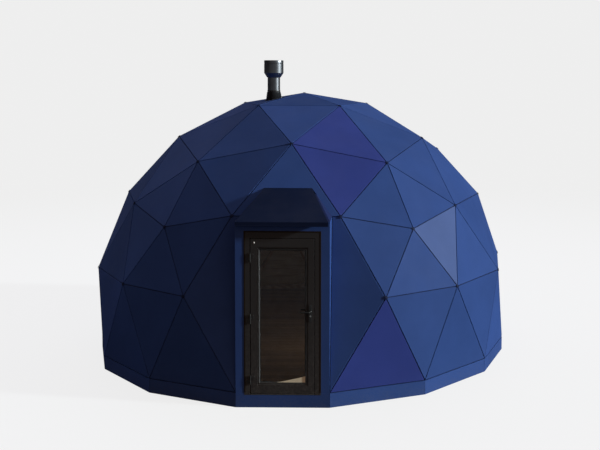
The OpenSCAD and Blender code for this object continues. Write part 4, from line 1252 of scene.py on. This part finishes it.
class DOME_OT_stage(bpy.types.Operator):
    """Sets the floor, the light, the background and the camera"""

    bl_idname = "dome.stage"
    bl_label = "Stage"

    CAMERA_AT = (1.3545, -15.0730, 4.2880)
    TURN = (-0.0737, 3.8952, 0.3553)     # degrees: yaw, pitch and roll
    SHIFT = -0.15
    LOBES = (                            # towards, span and tint of the sky's lobes
        ((0.0, 0.0, 1.0), (-0.1, 0.9, 0.06, 0.26), (1.12, 0.98, 0.88)),
        ((0.06, 0.71, 0.70), (0.5, 1.0, 0.0, 2.4), (0.95, 1.0, 1.30)),
        ((-0.78, 0.60, 0.19), (0.7, 1.0, 0.0, 2.6), (0.85, 0.95, 1.30)),
        ((0.74, 0.42, 0.52), (0.5, 1.0, 0.0, 1.1), (1.0, 1.0, 1.1)),
        ((0.2, -0.95, 0.25), (0.6, 1.0, 0.0, 0.95), (1.6, 0.9, 0.6)))

    def execute(self, context):
        stage = context.scene.dome_stage
        self.camera(context.scene, stage)
        self.lights(context.scene, stage)
        self.world(context.scene, stage)
        self.floor(context.scene, stage)
        context.scene.view_settings.view_transform = "Standard"
        return {"FINISHED"}

    def camera(self, scene, stage):
        """A camera that looks along +Y, turned by yaw, then pitch, then roll."""
        yaw, pitch, roll = np.radians(self.TURN)
        level = Matrix(((1, 0, 0), (0, 0, -1), (0, 1, 0)))
        view = (Matrix.Rotation(roll, 3, "Z") @ Matrix.Rotation(pitch, 3, "X")
                @ level @ Matrix.Rotation(yaw, 3, "Z"))
        turn = Matrix((view[0], -view[1], -view[2])).transposed()
        data = bpy.data.cameras.new("camera")
        data.lens, data.sensor_width = stage.focal, 36.0
        data.shift_x = data.shift_y = self.SHIFT
        data.clip_end = 400.0
        camera = bpy.data.objects.new("camera", data)
        camera.matrix_world = Matrix.Translation(self.CAMERA_AT) @ turn.to_4x4()
        scene.collection.objects.link(camera)
        scene.camera = camera

    def light(self, scene, name, kind, energy, tint):
        """A light of that kind, linked to the scene."""
        data = bpy.data.lights.new(name, kind)
        data.energy, data.color = energy, tint
        lamp = bpy.data.objects.new(name, data)
        scene.collection.objects.link(lamp)
        return lamp

    def lights(self, scene, stage):
        """A low sun from the right (+X), a little to the front, and a weak lamp in the
        room."""
        key = self.light(scene, "key", "SUN", stage.key, (0.90, 0.99, 1.0))
        key.data.angle = np.radians(4.0)
        azimuth, height = np.radians(81.0), np.radians(16.0)
        key.rotation_euler = (np.pi / 2 - height, 0.0, azimuth)
        room = self.light(scene, "room", "POINT", stage.room, (0.95, 0.97, 1.0))
        room.data.shadow_soft_size = 0.4
        room.location = (0.4, -0.9, 1.5)
        room.visible_camera = room.visible_glossy = room.visible_transmission = False

    def world(self, scene, stage):
        """The background's grey for what is in view; else a sky of broad tinted
        lobes, and a dim one for glossy rays."""
        world = scene.world = bpy.data.worlds.new("studio")
        world.use_nodes = True
        web, back = Web(world.node_tree), world.node_tree.nodes["Background"].inputs
        way = web.add("ShaderNodeTexCoord")["Generated"]
        mixed = [0.0, 0.0, 0.0]
        for aim, span, tint in self.LOBES:
            lobe = web.span(web.dot(way, aim), *span)
            mixed = [web.maths("MULTIPLY_ADD", lobe, share * stage.sky, before)
                     for share, before in zip(tint, mixed)]
        glow = web.add("ShaderNodeCombineColor", dict(enumerate(mixed)))[0]
        front = web.span(web.dot(way, (0.5, -0.8, 0.2)), -0.2, 0.9, 0.02, 0.16)
        gloss = web.add("ShaderNodeCombineColor", dict.fromkeys(range(3), front))[0]
        ray = web.add("ShaderNodeLightPath")["Is Glossy Ray"]
        pale = rgba([stage.background] * 3)
        web.feed(back["Color"], web.blend(web.in_view(), web.blend(ray, glow, gloss), pale))
        back["Strength"].default_value = 1.0

    def floor(self, scene, stage):
        """A pale round floor that fades into the background."""
        radius, lit, shade, white = 60.0, 0.10, 0.045, (1.0, 1.0, 1.0, 1.0)
        t = angles(96)
        verts = np.stack([radius * np.cos(t), radius * np.sin(t), 0 * t], -1)
        mesh = bpy.data.meshes.new("stage_floor")
        mesh.from_pydata(verts.tolist(), [], [list(range(96))])
        floor = bpy.data.objects.new("stage_floor", mesh)
        scene.collection.objects.link(floor)
        material = bpy.data.materials.new("stage_floor")
        material.use_nodes = True
        web, nodes = Web(material.node_tree), material.node_tree.nodes
        nodes.remove(nodes["Principled BSDF"])
        far = web.add("ShaderNodeVectorMath", {0: web.place()}, operation="LENGTH")["Value"]
        near = web.span(far, 6.0, 22.0, 1.0, 0.0)
        diffuse = web.add("ShaderNodeBsdfDiffuse", {"Color": (lit, lit, lit, 1.0)})[0]
        sheet, lift = [web.add("ShaderNodeEmission", {"Color": white, "Strength": glow})[0]
                       for glow in (stage.background, stage.background - shade)]
        shaded = web.add("ShaderNodeAddShader", {0: diffuse, 1: lift})[0]
        bright = web.add("ShaderNodeMixShader", {0: near, 1: sheet, 2: shaded})[0]
        both = web.add("ShaderNodeMixShader", {0: web.in_view(), 1: diffuse, 2: bright})[0]
        web.feed(nodes["Material Output"].inputs["Surface"], both)
        mesh.materials.append(material)


class DOME_PT_panel(bpy.types.Panel):
    """Lists the dome house's operators and sizes"""

    bl_idname = "DOME_PT_panel"
    bl_label = "Dome House"
    bl_space_type = "VIEW_3D"
    bl_region_type = "UI"
    bl_category = "Dome House"

    def draw(self, context):
        for operator in OPERATORS:
            self.layout.operator(operator.bl_idname)
        for group in SETTINGS:
            values = getattr(context.scene, group)
            for key in values.__annotations__:
                self.layout.prop(values, key)


SETTINGS = {"dome_sizes": DomeSizes, "door_sizes": DoorSizes, "flue_sizes": FlueSizes,
            "floor_sizes": FloorSizes, "dome_finishes": Finishes,
            "dome_stage": StageSettings}
OPERATORS = (DOME_OT_finishes, DOME_OT_panels, DOME_OT_seams, DOME_OT_door,
             DOME_OT_fittings, DOME_OT_flue, DOME_OT_hood, DOME_OT_floor,
             DOME_OT_stage)


def register():
    """Registers the classes and hangs the settings on the scene."""
    for group in SETTINGS.values():
        bpy.utils.register_class(group)
    for key, group in SETTINGS.items():
        setattr(bpy.types.Scene, key, PointerProperty(type=group))
    for operator in OPERATORS:
        bpy.utils.register_class(operator)
    bpy.utils.register_class(DOME_PT_panel)


def unregister():
    """Takes the classes and the settings away again."""
    bpy.utils.unregister_class(DOME_PT_panel)
    for operator in reversed(OPERATORS):
        bpy.utils.unregister_class(operator)
    for key, group in SETTINGS.items():
        delattr(bpy.types.Scene, key)
        bpy.utils.unregister_class(group)


def main():
    """Builds everything."""
    register()
    bpy.ops.dome.finishes()
    bpy.ops.dome.panels()
    bpy.ops.dome.seams()
    bpy.ops.dome.door()
    bpy.ops.dome.fittings()
    bpy.ops.dome.flue()
    bpy.ops.dome.hood()
    bpy.ops.dome.floor()
    bpy.ops.dome.stage()


if __name__ == "__main__":
    main()
